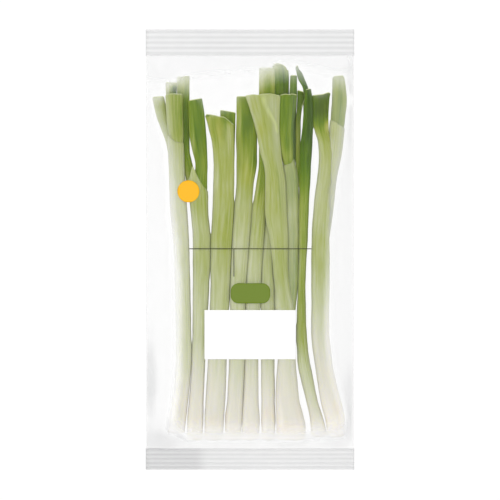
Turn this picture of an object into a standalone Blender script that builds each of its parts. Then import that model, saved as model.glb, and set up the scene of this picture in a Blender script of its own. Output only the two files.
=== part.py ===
"""Nine trimmed spring onions side by side in a clear film packet, lying on its back.

Units are metres, +Z up. +X runs across the packet and +Y from the root ends to the leaf tops. The origin
is on the surface that the packet lies on, under the middle of its outline.
"""

import math
from dataclasses import dataclass

import bmesh
import bpy
import numpy as np
from mathutils import Vector
from mathutils.bvhtree import BVHTree

MM = 0.001
CLEARANCE = 0.3  # mm between neighbouring pieces

# The packet, in mm.
PACKET_LENGTH = 300.0
PACKET_WIDTH = 142.0
FILM_WALL = 0.5
LAP_WIDTH = 12.0  # how far the two edges of the film lie over each other along the back
LAP_RISE = 2.5  # the distance in which the upper edge of the lap comes down to the back
TOP_SEAL = 18.2
BOTTOM_SEAL = 14.7
SEAL_HEIGHT = 2.4  # of the middle of a seal's inner edge
SEAL_DROOP = 0.9  # how far its outer edge hangs below that
SEAL_HALF_WALL = 0.7
SEAL_ROOT_HALF_WALL = 1.3  # where the tube runs into the seal
SEAL_ROOT = 3.0
SEAL_RIB = 0.35
TOP_RIBS = 5
BOTTOM_RIBS = 5
RIB_POINTS = 4  # points along one rib
TUBE_HALF_MOUTH = 0.6  # half the height that the tube keeps where it enters a seal
TUBE_SUNK = 1.6  # how far the tube's end is buried in the seal
FRONT_COLUMNS = 31
ROW_PITCH = 10.0
END_ROW_STEPS = (2.4, 5.0, 7.8, 11.0)  # rows beside each seal, from its inner edge
BACK_LIFT = 8.0  # the stretch beside a seal in which the back leaves the table
MEMBRANE_ROUNDS = 240
PULL_ACROSS = 0.7  # share of the film's tension that runs across the packet
CELL_SAMPLES = 5

# The onions, in mm.
STEM_SIDES = 14
LEAF_SIDES = 12
STEM_ROUNDNESS = 2.2
LEAF_ROUNDNESS = 2.6
LEAF_WALL = 0.8
THIN_LEAF_WALL = 0.6
HOLLOW_DEPTH = 12.0
ROOT_PLATE = ((0.0, 0.56), (0.9, 0.84), (3.2, 1.0))  # distance from the cut roots, share of the full girth
SHEATH_LIP = ((1.6, 0.84), (2.8, 0.5))  # distance past the last row, share of the full girth
SUNK_SHARE = 0.8  # girth of the end of a leaf that is buried in its stem


@dataclass(frozen=True)
class Section:
    """A shoot's cross-section at y: the box that holds it, in mm."""

    y: float
    left: float
    right: float
    low: float
    high: float

    def shrunk(self, share, y):
        """The same section at another y with its sides pulled in to a share of the girth."""
        x, z = (self.left + self.right) / 2, (self.low + self.high) / 2
        half_width = (self.right - self.left) / 2 * share
        half_depth = (self.high - self.low) / 2 * share
        return Section(y, x - half_width, x + half_width, z - half_depth, z + half_depth)

    def inset(self, wall):
        """The hollow inside this section when it has a wall this thick."""
        return Section(self.y, self.left + wall, self.right - wall, self.low + wall, self.high - wall)

    def point(self, turn, roundness):
        """The point of the rounded outline at an angle, in metres."""
        cos, sin = math.cos(turn), math.sin(turn)
        x = math.copysign(abs(cos) ** (2 / roundness), cos) * (self.right - self.left) / 2
        z = math.copysign(abs(sin) ** (2 / roundness), sin) * (self.high - self.low) / 2
        return Vector(((self.left + self.right) / 2 + x, self.y, (self.low + self.high) / 2 + z)) * MM


@dataclass(frozen=True)
class Shoot:
    """A stem or a leaf as a row of sections, from its lower end to its upper end."""

    rows: tuple  # y, left, right, low, high
    lower: str = "sunk"  # "roots" or "sunk" in the stem
    upper: str = "cut"  # "cut" open, or "sheath" closed round the leaves that come out of it
    wall: float = LEAF_WALL

    def sections(self):
        return [Section(*row) for row in self.rows]


ONIONS = {
    "onion_1": (
        Shoot(
            lower="roots",
            upper="sheath",
            rows=(
                (-124.8, -56.0, -44.5, 1.6, 11.6),
                (-115.9, -54.7, -43.5, 1.6, 11.9),
                (-102.3, -52.7, -42.0, 1.6, 11.9),
                (-88.7, -51.1, -40.9, 1.6, 11.7),
                (-74.5, -50.4, -40.0, 1.6, 11.6),
                (-27.5, -50.8, -40.2, 1.6, 11.6),
                (6.5, -52.2, -41.5, 1.6, 11.4),
                (27.5, -54.3, -42.7, 1.6, 11.2),
                (47.3, -54.9, -44.2, 1.6, 10.8),
                (60.9, -55.2, -44.7, 1.7, 10.5),
                (71.7, -55.4, -45.2, 1.8, 10.2),
            ),
        ),
        Shoot(
            rows=(
                (54.1, -54.7, -48.3, 3.0, 7.0),
                (69.0, -56.4, -49.3, 2.8, 6.6),
                (78.5, -59.2, -51.3, 2.6, 6.2),
                (91.5, -63.9, -55.8, 2.4, 5.8),
                (103.7, -66.6, -58.8, 2.4, 5.6),
            ),
        ),
        Shoot(
            rows=(
                (55.4, -54.9, -45.3, 6.0, 10.0),
                (74.5, -55.8, -45.4, 6.6, 10.3),
                (92.8, -56.7, -45.8, 6.7, 10.2),
                (105.7, -57.5, -46.0, 6.8, 10.1),
            ),
        ),
        Shoot(
            rows=(
                (55.4, -54.6, -49.0, 2.1, 5.2),
                (88.1, -57.0, -50.4, 1.8, 4.9),
                (113.9, -57.5, -50.3, 1.8, 4.7),
            ),
        ),
    ),
    "onion_2": (
        Shoot(
            lower="roots",
            upper="sheath",
            rows=(
                (-129.5, -42.7, -32.8, 1.6, 11.2),
                (-115.9, -42.6, -32.0, 1.6, 11.6),
                (-102.3, -41.5, -31.8, 1.6, 11.3),
                (-88.7, -40.1, -31.2, 1.6, 10.8),
                (-74.5, -39.4, -30.5, 1.6, 10.8),
                (-27.5, -39.0, -28.1, 1.6, 11.6),
                (6.5, -38.8, -27.1, 1.6, 11.6),
                (27.5, -40.5, -28.2, 1.6, 11.4),
                (40.5, -42.2, -28.6, 1.6, 11.0),
                (50.0, -43.0, -28.8, 1.7, 10.8),
                (55.4, -42.4, -29.0, 1.8, 10.4),
            ),
        ),
        Shoot(
            rows=(
                (48.6, -42.2, -36.0, 2.2, 7.0),
                (60.9, -44.1, -39.9, 2.0, 6.2),
                (67.7, -44.7, -41.2, 1.9, 5.6),
                (79.2, -47.1, -42.3, 1.8, 5.2),
                (101.7, -49.6, -42.2, 1.8, 4.9),
                (118.0, -49.9, -41.2, 1.8, 4.8),
            ),
        ),
        Shoot(
            rows=(
                (47.3, -38.4, -29.3, 5.4, 10.4),
                (56.8, -37.1, -29.0, 6.0, 10.4),
                (68.3, -39.4, -29.4, 6.1, 10.2),
                (79.2, -41.2, -30.1, 6.2, 10.1),
                (92.8, -41.7, -31.1, 6.3, 10.0),
                (102.7, -41.8, -32.7, 6.4, 9.9),
            ),
        ),
    ),
    "onion_3": (
        Shoot(
            lower="roots",
            rows=(
                (-129.5, -30.7, -18.6, 1.6, 12.2),
                (-115.9, -30.9, -17.7, 1.6, 12.6),
                (-102.3, -30.1, -16.9, 1.6, 12.6),
                (-88.7, -29.2, -16.3, 1.6, 12.4),
                (-74.5, -28.6, -15.8, 1.6, 12.3),
                (-27.5, -26.9, -14.1, 1.6, 12.2),
                (6.5, -26.4, -12.7, 1.6, 12.0),
                (27.5, -25.6, -11.1, 1.6, 11.6),
                (41.8, -25.0, -10.7, 2.4, 11.1),
                (55.4, -24.6, -10.5, 4.8, 10.6),
                (71.1, -25.7, -10.8, 5.2, 10.0),
                (84.7, -28.9, -11.2, 5.6, 9.8),
                (91.1, -30.3, -17.3, 5.8, 9.6),
            ),
        ),
        Shoot(
            rows=(
                (36.4, -19.0, -11.4, 2.2, 7.0),
                (60.9, -20.0, -10.7, 1.8, 4.6),
                (94.2, -20.2, -10.0, 1.8, 4.6),
            ),
        ),
    ),
    "onion_4": (
        Shoot(
            lower="roots",
            rows=(
                (-129.5, -16.7, -6.4, 1.6, 11.4),
                (-115.9, -16.9, -5.6, 1.6, 12.0),
                (-102.3, -15.5, -4.9, 1.6, 11.8),
                (-74.5, -14.3, -3.7, 1.6, 11.6),
                (-27.5, -13.3, -3.1, 1.6, 11.4),
                (6.5, -11.6, -0.5, 1.6, 10.8),
                (27.5, -10.4, 1.1, 1.6, 9.6),
                (43.9, -9.3, 2.5, 1.6, 8.2),
                (60.9, -8.7, 4.8, 1.7, 6.6),
                (88.1, -9.0, 4.8, 1.8, 5.8),
                (104.4, -9.1, 4.6, 1.8, 5.4),
            ),
        ),
    ),
    "onion_5": (
        Shoot(
            lower="roots",
            rows=(
                (-129.5, -5.0, 5.8, 1.6, 11.4),
                (-115.9, -5.2, 6.4, 1.6, 12.0),
                (-102.3, -4.5, 5.6, 1.6, 11.4),
                (-74.5, -3.3, 5.4, 1.6, 10.6),
                (-27.5, -2.2, 7.1, 1.6, 10.6),
                (6.5, -0.1, 9.0, 1.6, 9.6),
                (27.5, 1.6, 10.6, 1.6, 8.0),
                (43.9, 4.2, 12.1, 1.6, 6.7),
                (59.5, 6.1, 13.5, 1.7, 5.8),
                (81.3, 6.2, 15.7, 1.8, 5.2),
                (105.7, 6.2, 16.9, 1.8, 5.0),
                (123.8, 6.4, 17.1, 1.8, 4.8),
            ),
        ),
    ),
    "onion_6": (
        Shoot(
            lower="roots",
            rows=(
                (-129.5, 8.2, 16.7, 1.6, 10.4),
                (-115.9, 7.8, 17.1, 1.6, 10.8),
                (-102.3, 7.8, 16.5, 1.6, 10.6),
                (-74.5, 7.5, 16.5, 1.6, 10.4),
                (-27.5, 7.8, 16.5, 1.6, 10.0),
                (-10.5, 8.2, 15.2, 1.6, 8.4),
                (6.5, 9.6, 17.6, 1.6, 6.5),
                (27.5, 11.2, 20.1, 1.6, 6.1),
                (54.1, 13.8, 21.4, 1.7, 5.7),
                (81.3, 16.3, 23.5, 1.8, 5.2),
                (105.7, 17.5, 25.4, 1.8, 5.0),
                (120.7, 17.7, 25.6, 1.8, 4.9),
                (126.5, 18.8, 23.5, 2.0, 4.6),
            ),
        ),
    ),
    "onion_7": (
        Shoot(
            lower="roots",
            rows=(
                (-129.5, 19.0, 37.1, 1.6, 14.2),
                (-120.7, 18.0, 37.9, 1.6, 14.6),
                (-111.9, 18.0, 36.1, 1.6, 14.4),
                (-102.3, 17.6, 33.5, 1.6, 14.0),
                (-88.7, 17.9, 32.1, 1.6, 13.4),
                (-74.5, 18.8, 31.0, 1.6, 13.2),
                (-54.7, 18.0, 31.0, 1.6, 13.2),
                (-41.0, 17.5, 30.0, 2.2, 13.0),
                (-27.5, 17.2, 27.6, 4.4, 12.8),
                (-10.5, 15.6, 25.8, 5.8, 12.8),
                (6.5, 13.5, 25.8, 6.9, 12.8),
                (27.5, 10.1, 24.8, 7.1, 12.8),
                (47.3, 10.4, 23.7, 7.1, 12.3),
                (55.4, 9.8, 22.4, 7.0, 11.9),
                (64.9, 7.2, 21.2, 6.8, 11.4),
                (83.3, 3.4, 20.0, 6.5, 10.8),
                (94.9, 0.0, 20.2, 6.3, 10.5),
                (104.9, -3.1, 20.5, 6.3, 10.2),
            ),
        ),
        Shoot(
            upper="sheath",
            rows=(
                (-50.0, 24.5, 30.4, 2.4, 10.6),
                (-40.0, 25.6, 31.0, 2.0, 10.4),
                (-27.5, 26.2, 31.7, 1.9, 10.0),
                (-19.4, 25.8, 32.5, 1.7, 9.8),
                (6.5, 26.1, 32.6, 1.7, 9.8),
                (27.5, 25.2, 32.6, 1.7, 9.8),
                (37.1, 24.6, 32.2, 1.7, 9.8),
                (47.3, 24.1, 30.8, 1.8, 9.8),
                (56.8, 24.1, 29.6, 1.8, 9.7),
            ),
        ),
        Shoot(
            rows=(
                (45.9, 24.8, 29.6, 5.0, 9.4),
                (62.2, 22.9, 29.4, 6.0, 9.8),
                (76.5, 21.7, 29.4, 6.2, 9.8),
                (94.9, 21.1, 30.9, 6.2, 9.8),
                (105.5, 21.1, 32.0, 6.4, 9.7),
            ),
        ),
        Shoot(
            wall=THIN_LEAF_WALL,
            rows=(
                (45.9, 25.5, 29.9, 2.2, 5.6),
                (67.7, 25.8, 30.1, 1.9, 5.2),
                (88.1, 26.2, 30.3, 1.8, 5.0),
                (108.5, 27.1, 31.1, 1.8, 4.9),
                (118.7, 27.9, 30.9, 1.9, 4.7),
            ),
        ),
    ),
    "onion_8": (
        Shoot(
            lower="roots",
            rows=(
                (-127.2, 42.1, 52.1, 1.6, 10.6),
                (-115.9, 40.8, 50.1, 1.6, 10.8),
                (-102.3, 38.0, 45.9, 1.6, 9.8),
                (-88.7, 34.6, 43.2, 1.6, 10.0),
                (-74.5, 32.2, 40.3, 1.6, 10.0),
                (-54.7, 31.8, 38.5, 1.6, 9.4),
                (-27.5, 32.7, 37.7, 1.6, 8.6),
                (6.5, 33.3, 39.2, 1.6, 9.4),
                (27.5, 33.3, 40.0, 1.6, 9.8),
                (47.3, 33.5, 41.1, 1.7, 9.9),
                (57.5, 33.7, 41.5, 3.0, 10.0),
                (73.1, 34.4, 42.3, 5.6, 10.1),
                (82.6, 35.5, 42.5, 6.2, 10.1),
                (93.5, 36.4, 42.4, 6.8, 10.1),
                (103.0, 37.1, 42.1, 7.0, 10.1),
                (109.1, 37.9, 41.2, 7.1, 10.0),
            ),
        ),
        Shoot(
            wall=THIN_LEAF_WALL,
            rows=(
                (40.5, 34.2, 38.1, 3.6, 8.0),
                (48.6, 31.5, 36.0, 3.9, 7.2),
                (67.7, 31.3, 34.2, 4.1, 6.8),
                (86.7, 31.3, 33.9, 4.1, 6.7),
                (96.2, 32.1, 35.5, 4.1, 6.7),
                (103.7, 32.3, 37.5, 4.1, 6.7),
                (108.5, 32.4, 36.3, 4.1, 6.6),
            ),
        ),
        Shoot(
            wall=THIN_LEAF_WALL,
            rows=(
                (40.5, 35.5, 39.5, 2.2, 5.4),
                (67.7, 35.8, 40.1, 1.7, 4.0),
                (93.5, 36.4, 40.8, 1.7, 3.8),
                (108.5, 36.2, 40.0, 1.7, 3.8),
                (116.6, 32.4, 37.0, 1.7, 3.8),
                (124.8, 31.0, 33.5, 1.7, 3.7),
            ),
        ),
    ),
    "onion_9": (
        Shoot(
            lower="roots",
            upper="sheath",
            rows=(
                (-127.2, 52.6, 64.3, 1.6, 12.2),
                (-115.9, 51.3, 64.4, 1.6, 12.8),
                (-102.3, 47.8, 61.7, 1.6, 12.8),
                (-88.7, 45.6, 58.3, 1.6, 12.2),
                (-74.5, 43.5, 55.7, 1.6, 12.0),
                (-54.7, 41.6, 53.8, 1.6, 12.0),
                (-27.5, 41.7, 54.1, 1.6, 12.0),
                (6.5, 41.8, 54.1, 1.6, 11.8),
                (27.5, 43.2, 56.7, 1.6, 11.4),
                (47.3, 45.4, 58.9, 1.6, 10.8),
                (67.7, 46.9, 62.7, 1.7, 10.2),
                (81.3, 44.6, 63.8, 1.9, 9.8),
            ),
        ),
        Shoot(
            rows=(
                (70.4, 47.2, 54.7, 4.6, 9.6),
                (87.4, 43.6, 53.2, 5.4, 9.7),
                (101.7, 42.9, 53.9, 5.6, 9.6),
                (106.0, 42.8, 54.8, 5.7, 9.5),
            ),
        ),
        Shoot(
            rows=(
                (70.4, 54.7, 62.6, 2.6, 8.4),
                (89.8, 55.0, 64.7, 3.2, 7.8),
                (101.9, 55.9, 65.8, 3.4, 7.6),
                (111.2, 56.0, 65.0, 3.4, 7.5),
                (118.0, 57.1, 63.2, 3.5, 7.2),
            ),
        ),
    ),
}

STEM_COLOURS = {
    "onion_1": (0.62, 0.66, 0.40),
    "onion_2": (0.46, 0.55, 0.24),
    "onion_3": (0.44, 0.54, 0.22),
    "onion_4": (0.40, 0.50, 0.19),
    "onion_5": (0.42, 0.53, 0.20),
    "onion_6": (0.38, 0.49, 0.17),
    "onion_7": (0.42, 0.53, 0.21),
    "onion_8": (0.27, 0.38, 0.11),
    "onion_9": (0.43, 0.52, 0.20),
}
STEM_ROUGHNESS = 0.42
FILM_COLOUR = (0.9, 0.92, 0.92)
FILM_ROUGHNESS = 0.12
FILM_ALPHA = 0.25


def clear_scene():
    for thing in list(bpy.data.objects):
        bpy.data.objects.remove(thing, do_unlink=True)


def plain_material(name, colour, roughness, alpha=1.0):
    material = bpy.data.materials.new(name)
    material.use_nodes = True
    shader = material.node_tree.nodes["Principled BSDF"]
    shader.inputs["Base Color"].default_value = (*colour, 1.0)
    shader.inputs["Roughness"].default_value = roughness
    shader.inputs["Metallic"].default_value = 0.0
    shader.inputs["Alpha"].default_value = alpha
    return material


def object_of(name, bm, collection=None):
    mesh = bpy.data.meshes.new(name)
    bm.to_mesh(mesh)
    bm.free()
    mesh.shade_smooth()
    thing = bpy.data.objects.new(name, mesh)
    (collection or bpy.context.scene.collection).objects.link(thing)
    return thing


def section_at(sections, y):
    """The section between two rows of a shoot."""
    for near, far in zip(sections, sections[1:]):
        if near.y <= y <= far.y:
            share = (y - near.y) / (far.y - near.y)
            low_end = np.array((near.left, near.right, near.low, near.high))
            high_end = np.array((far.left, far.right, far.low, far.high))
            return Section(y, *(low_end + (high_end - low_end) * share))
    raise ValueError(f"no section at {y}")


def lower_end(shoot, sections):
    """The sections that begin a shoot: a rounded plate of cut roots, or an end buried in the stem."""
    if shoot.lower == "sunk":
        return [sections[0].shrunk(SUNK_SHARE, sections[0].y)]
    start = sections[0].y
    return [section_at(sections, start + along).shrunk(share, start + along) for along, share in ROOT_PLATE]


def upper_end(shoot, sections):
    """The sections that end a shoot: a closing lip round the leaves, or a cut end that shows the hollow."""
    last = sections[-1]
    if shoot.upper == "sheath":
        return [last.shrunk(share, last.y + along) for along, share in SHEATH_LIP]
    depths = (0.0, HOLLOW_DEPTH / 3, HOLLOW_DEPTH)
    return [section_at(sections, last.y - depth).inset(shoot.wall) for depth in depths]


def loft(name, sections, sides, roundness, collection):
    """Grows one ring of points along the sections and closes both ends."""
    bm = bmesh.new()
    turn = bm.verts.layers.float.new("turn")
    ring = bmesh.ops.create_circle(bm, segments=sides, radius=1.0)["verts"]
    for vert in ring:
        vert[turn] = math.atan2(vert.co.y, vert.co.x)
        vert.co = sections[0].point(vert[turn], roundness)
    bmesh.ops.contextual_create(bm, geom=list(bm.edges))
    edges = list(bm.edges)
    for section in sections[1:]:
        grown = bmesh.ops.extrude_edge_only(bm, edges=edges)["geom"]
        ring = [part for part in grown if isinstance(part, bmesh.types.BMVert)]
        edges = [part for part in grown if isinstance(part, bmesh.types.BMEdge)]
        edges = [edge for edge in edges if edge.verts[0] in ring and edge.verts[1] in ring]
        for vert in ring:
            vert.co = section.point(vert[turn], roundness)
    bmesh.ops.contextual_create(bm, geom=edges)
    bmesh.ops.recalc_face_normals(bm, faces=bm.faces)
    return object_of(name, bm, collection)


def joined(name, pieces):
    """One body out of a collection of overlapping pieces, which is removed."""
    first = pieces.objects[0]
    whole = bpy.data.objects.new(name, first.data.copy())
    bpy.context.scene.collection.objects.link(whole)
    bpy.data.objects.remove(first, do_unlink=True)
    if pieces.objects:
        union = whole.modifiers.new("Joined", "BOOLEAN")
        union.operation = "UNION"
        union.operand_type = "COLLECTION"
        union.collection = pieces
        union.solver = "EXACT"
        graph = bpy.context.evaluated_depsgraph_get()
        mesh = bpy.data.meshes.new_from_object(whole.evaluated_get(graph))
        whole.modifiers.clear()
        whole.data = mesh
    for piece in list(pieces.objects):
        bpy.data.objects.remove(piece, do_unlink=True)
    bpy.data.collections.remove(pieces)
    whole.data.name = name
    whole.data.shade_smooth()
    return whole


def build_onion(name, shoots):
    """The stem of an onion with its leaves, as one body."""
    pieces = bpy.data.collections.new(f"{name}_shoots")
    bpy.context.scene.collection.children.link(pieces)
    for number, shoot in enumerate(shoots):
        sections = shoot.sections()
        begun = lower_end(shoot, sections)
        middle = [section for section in sections if section.y > begun[-1].y]
        is_stem = number == 0
        loft(
            f"{name}_shoot_{number}",
            begun + middle + upper_end(shoot, sections),
            STEM_SIDES if is_stem else LEAF_SIDES,
            STEM_ROUNDNESS if is_stem else LEAF_ROUNDNESS,
            pieces,
        )
    onion = joined(name, pieces)
    onion.data.materials.clear()
    onion.data.materials.append(plain_material(f"{name}_skin", STEM_COLOURS[name], STEM_ROUGHNESS))
    return onion


def film_columns():
    """The places across the packet of the front's points, which are closer together beside the folds."""
    edge = PACKET_WIDTH / 2 - FILM_WALL - 0.7
    return np.linspace(-edge, edge, FRONT_COLUMNS)


def film_rows():
    """The places along the packet of the tube's rows, from one buried end to the other."""
    bottom = -PACKET_LENGTH / 2 + BOTTOM_SEAL
    top = PACKET_LENGTH / 2 - TOP_SEAL
    first = [bottom - TUBE_SUNK, bottom] + [bottom + step for step in END_ROW_STEPS]
    last = [top - step for step in reversed(END_ROW_STEPS)] + [top, top + TUBE_SUNK]
    between = int((last[0] - first[-1]) / ROW_PITCH)
    middle = np.linspace(first[-1], last[0], between + 2)[1:-1]
    return np.array(first + list(middle) + last)


def highest_under(trees, x_low, x_high, y_low, y_high):
    """The highest point of the onions inside a cell of the front, in mm, or 0 where there is none."""
    highest = 0.0
    for x in np.linspace(x_low, x_high, CELL_SAMPLES):
        for y in np.linspace(y_low, y_high, 2 * CELL_SAMPLES):
            start = Vector((x * MM, y * MM, 0.1))
            for tree in trees:
                hit = tree.ray_cast(start, Vector((0, 0, -1)))[0]
                if hit:
                    highest = max(highest, hit.z / MM)
    return highest


def front_floor(onions, columns, rows):
    """The least height of each of the front's points that keeps its faces clear of the onions."""
    graph = bpy.context.evaluated_depsgraph_get()
    trees = [BVHTree.FromObject(onion, graph) for onion in onions]
    floor = np.zeros((len(rows), len(columns)))
    for i in range(len(rows) - 1):
        for j in range(len(columns) - 1):
            highest = highest_under(trees, columns[j], columns[j + 1], rows[i], rows[i + 1])
            if highest:
                corners = floor[i : i + 2, j : j + 2]
                np.maximum(corners, highest + CLEARANCE, out=corners)
    return floor


def back_height(y):
    """The height of the back's inner face: flat on the table, and lifted to the seals at its ends."""
    bottom = -PACKET_LENGTH / 2 + BOTTOM_SEAL
    top = PACKET_LENGTH / 2 - TOP_SEAL
    near = min(y - bottom, top - y) / BACK_LIFT
    share = 1 - min(max(near, 0.0), 1.0)
    eased = share * share * (3 - 2 * share)
    return FILM_WALL + (SEAL_HEIGHT - TUBE_HALF_MOUTH - FILM_WALL) * eased


def front_heights(onions, columns, rows):
    """The front's heights: a skin pulled taut over the onions, from fold to fold and from seal to seal."""
    floor = front_floor(onions, columns, rows)
    backs = np.array([back_height(y) for y in rows])
    floor = np.maximum(floor, (backs + 2 * TUBE_HALF_MOUTH)[:, None])
    heights = floor.copy()
    held = np.zeros_like(floor, dtype=bool)
    held[:, 0] = held[:, -1] = True
    for end in (0, 1, -2, -1):
        held[end] = True
        heights[end] = SEAL_HEIGHT + TUBE_HALF_MOUTH
    heights[:, 0] = heights[:, -1] = backs + 2 * TUBE_HALF_MOUTH
    for _ in range(MEMBRANE_ROUNDS):
        across = (np.roll(heights, 1, axis=1) + np.roll(heights, -1, axis=1)) / 2
        along = (np.roll(heights, 1, axis=0) + np.roll(heights, -1, axis=0)) / 2
        pulled = PULL_ACROSS * across + (1 - PULL_ACROSS) * along
        heights = np.where(held, heights, np.maximum(pulled, floor))
    return heights


def film_path(y, columns, heights):
    """The film's inner face at one row: from the lap over the right fold, the front and the left fold."""
    back = back_height(y)
    lapped = back + FILM_WALL + CLEARANCE
    fold = columns[-1]
    bulge = 0.7
    middle = back + TUBE_HALF_MOUTH
    right = [(fold + bulge * 0.7, back + 0.18), (fold + bulge, middle), (fold + bulge * 0.7, middle + 0.42)]
    path = [(-LAP_WIDTH / 2, lapped), (0.0, lapped), (LAP_WIDTH / 2, lapped)]
    path += [(LAP_WIDTH / 2 + LAP_RISE, back), (fold * 0.6, back), (fold, back)]
    path += right
    path += list(zip(reversed(columns), reversed(heights)))
    path += [(-x, z) for x, z in reversed(right)]
    path += [(-fold, back), (-fold * 0.6, back), (-LAP_WIDTH, back), (LAP_WIDTH / 2, back)]
    return path


def build_tube(onions, collection):
    """The film folded round the onions as a tube that is lapped, but left unstuck, along its back."""
    columns, rows = film_columns(), film_rows()
    heights = front_heights(onions, columns, rows)
    paths = [film_path(y, columns, row) for y, row in zip(rows, heights)]
    steps_along, steps_across = len(rows) - 1, len(paths[0]) - 1
    bm = bmesh.new()
    bmesh.ops.create_grid(bm, x_segments=steps_across, y_segments=steps_along, size=0.5)
    for vert in bm.verts:
        step = round((vert.co.x + 0.5) * steps_across)
        row = round((vert.co.y + 0.5) * steps_along)
        x, z = paths[row][step]
        vert.co = Vector((x, rows[row], z)) * MM
    bmesh.ops.reverse_faces(bm, faces=bm.faces)
    tube = object_of("film_tube", bm, collection)
    wall = tube.modifiers.new("Wall", "SOLIDIFY")
    wall.thickness = FILM_WALL * MM
    wall.offset = 1.0
    graph = bpy.context.evaluated_depsgraph_get()
    mesh = bpy.data.meshes.new_from_object(tube.evaluated_get(graph))
    tube.modifiers.clear()
    tube.data = mesh


def build_seal(name, side, length, ribs, collection):
    """A crimped bar across one end: side is -1 at the roots and 1 at the leaves."""
    inner = side * (PACKET_LENGTH / 2 - length)
    pitch = (length - SEAL_ROOT) / ribs
    faces = {1: [], -1: []}
    for face in faces:
        faces[face].append((0.0, SEAL_HEIGHT + face * SEAL_ROOT_HALF_WALL))
        faces[face].append((SEAL_ROOT * 0.8, SEAL_HEIGHT + face * SEAL_ROOT_HALF_WALL))
        for step in range(ribs * RIB_POINTS + 1):
            along = SEAL_ROOT + step / RIB_POINTS * pitch
            middle = SEAL_HEIGHT - SEAL_DROOP * along / length
            wave = SEAL_RIB * math.sin(2 * math.pi * step / RIB_POINTS)
            faces[face].append((along, middle + wave + face * SEAL_HALF_WALL))
    outline = faces[1] + faces[-1][::-1]
    bm = bmesh.new()
    corners = [bm.verts.new(Vector((-PACKET_WIDTH / 2, inner + side * y, z)) * MM) for y, z in outline]
    profile = bm.faces.new(corners)
    grown = bmesh.ops.extrude_face_region(bm, geom=[profile])["geom"]
    moved = [part for part in grown if isinstance(part, bmesh.types.BMVert)]
    bmesh.ops.translate(bm, verts=moved, vec=Vector((PACKET_WIDTH * MM, 0, 0)))
    bmesh.ops.recalc_face_normals(bm, faces=bm.faces)
    object_of(name, bm, collection)


def build_packet(onions):
    """The film packet: its tube and its two crimped seals, as one body."""
    pieces = bpy.data.collections.new("film_pieces")
    bpy.context.scene.collection.children.link(pieces)
    build_tube(onions, pieces)
    build_seal("top_seal", 1, TOP_SEAL, TOP_RIBS, pieces)
    build_seal("bottom_seal", -1, BOTTOM_SEAL, BOTTOM_RIBS, pieces)
    packet = joined("film_packet", pieces)
    packet.data.materials.clear()
    packet.data.materials.append(plain_material("clear_film", FILM_COLOUR, FILM_ROUGHNESS, FILM_ALPHA))
    return packet


def main():
    clear_scene()
    onions = [build_onion(name, shoots) for name, shoots in ONIONS.items()]
    build_packet(onions)


main()
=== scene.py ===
"""Nine trimmed spring onions side by side in a clear film packet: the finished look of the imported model.

Sizes are in millimetres, apart from the studio's and the finishes', which are in metres. +X runs across the
packet, +Y from the root ends to the leaf tops and +Z up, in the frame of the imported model. Every piece's mesh
is built in place and its object stays at the origin.
"""

import logging
import math
from dataclasses import dataclass, field, replace
from enum import Enum

import bmesh
import bpy
import numpy as np
from mathutils import Matrix, Vector
from mathutils.bvhtree import BVHTree


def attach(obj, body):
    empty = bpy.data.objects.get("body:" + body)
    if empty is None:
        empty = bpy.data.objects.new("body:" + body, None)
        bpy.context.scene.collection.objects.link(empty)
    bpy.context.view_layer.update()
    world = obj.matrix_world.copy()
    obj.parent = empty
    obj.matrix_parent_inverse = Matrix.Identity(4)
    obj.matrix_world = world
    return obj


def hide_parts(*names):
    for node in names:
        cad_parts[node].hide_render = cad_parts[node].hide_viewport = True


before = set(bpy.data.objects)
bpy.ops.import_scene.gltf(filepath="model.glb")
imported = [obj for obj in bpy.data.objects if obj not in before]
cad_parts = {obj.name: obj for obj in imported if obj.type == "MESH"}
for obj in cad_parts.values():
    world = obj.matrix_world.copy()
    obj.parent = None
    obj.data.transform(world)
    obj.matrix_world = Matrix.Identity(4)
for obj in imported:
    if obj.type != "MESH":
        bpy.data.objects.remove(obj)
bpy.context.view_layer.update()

LOG = logging.getLogger("spring_onions")
MM = 0.001
Rows = tuple[tuple[float, float, float, float, float], ...]
Line = tuple[tuple[float, float], ...]
Colour = tuple[int, int, int]
Socket = bpy.types.NodeSocket

# The Mix node's inputs and outputs by number, because several share a name.
MIX_SHARE = 0
VECTOR_INPUTS = (4, 5)
COLOUR_INPUTS = (6, 7)
VECTOR_RESULT = 1
COLOUR_RESULT = 2
NOISE_ROUGHNESS = 0.55
BLOTCH_SQUEEZE = 0.35
SHARP_ANGLE = 50


class LowerEnd(Enum):
    """How a shoot begins."""

    ROOTS = "trimmed root plate"
    SUNK = "buried in the stem"


class UpperEnd(Enum):
    """How a shoot stops."""

    LEAF_CUT = "open cut across a hollow leaf"
    SHEATH_RIM = "thin rim of a sheath round the next leaves"


class Side(Enum):
    """The side of a shoot that carries more of the grey waxy bloom and of the painted sheen."""

    LEFT = -1
    NONE = 0
    RIGHT = 1


def srgb(red: float, green: float, blue: float) -> tuple[float, float, float, float]:
    """Gives a colour that is seen as 0 to 255 its linear values.

    Args:
        red: Red, from 0 to 255.
        green: Green, from 0 to 255.
        blue: Blue, from 0 to 255.

    Returns:
        The linear colour with an alpha of 1.
    """
    shares = [value / 255 for value in (red, green, blue)]
    linear = [s / 12.92 if s <= 0.04045 else ((s + 0.055) / 1.055) ** 2.4 for s in shares]
    return (*linear, 1.0)


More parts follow.
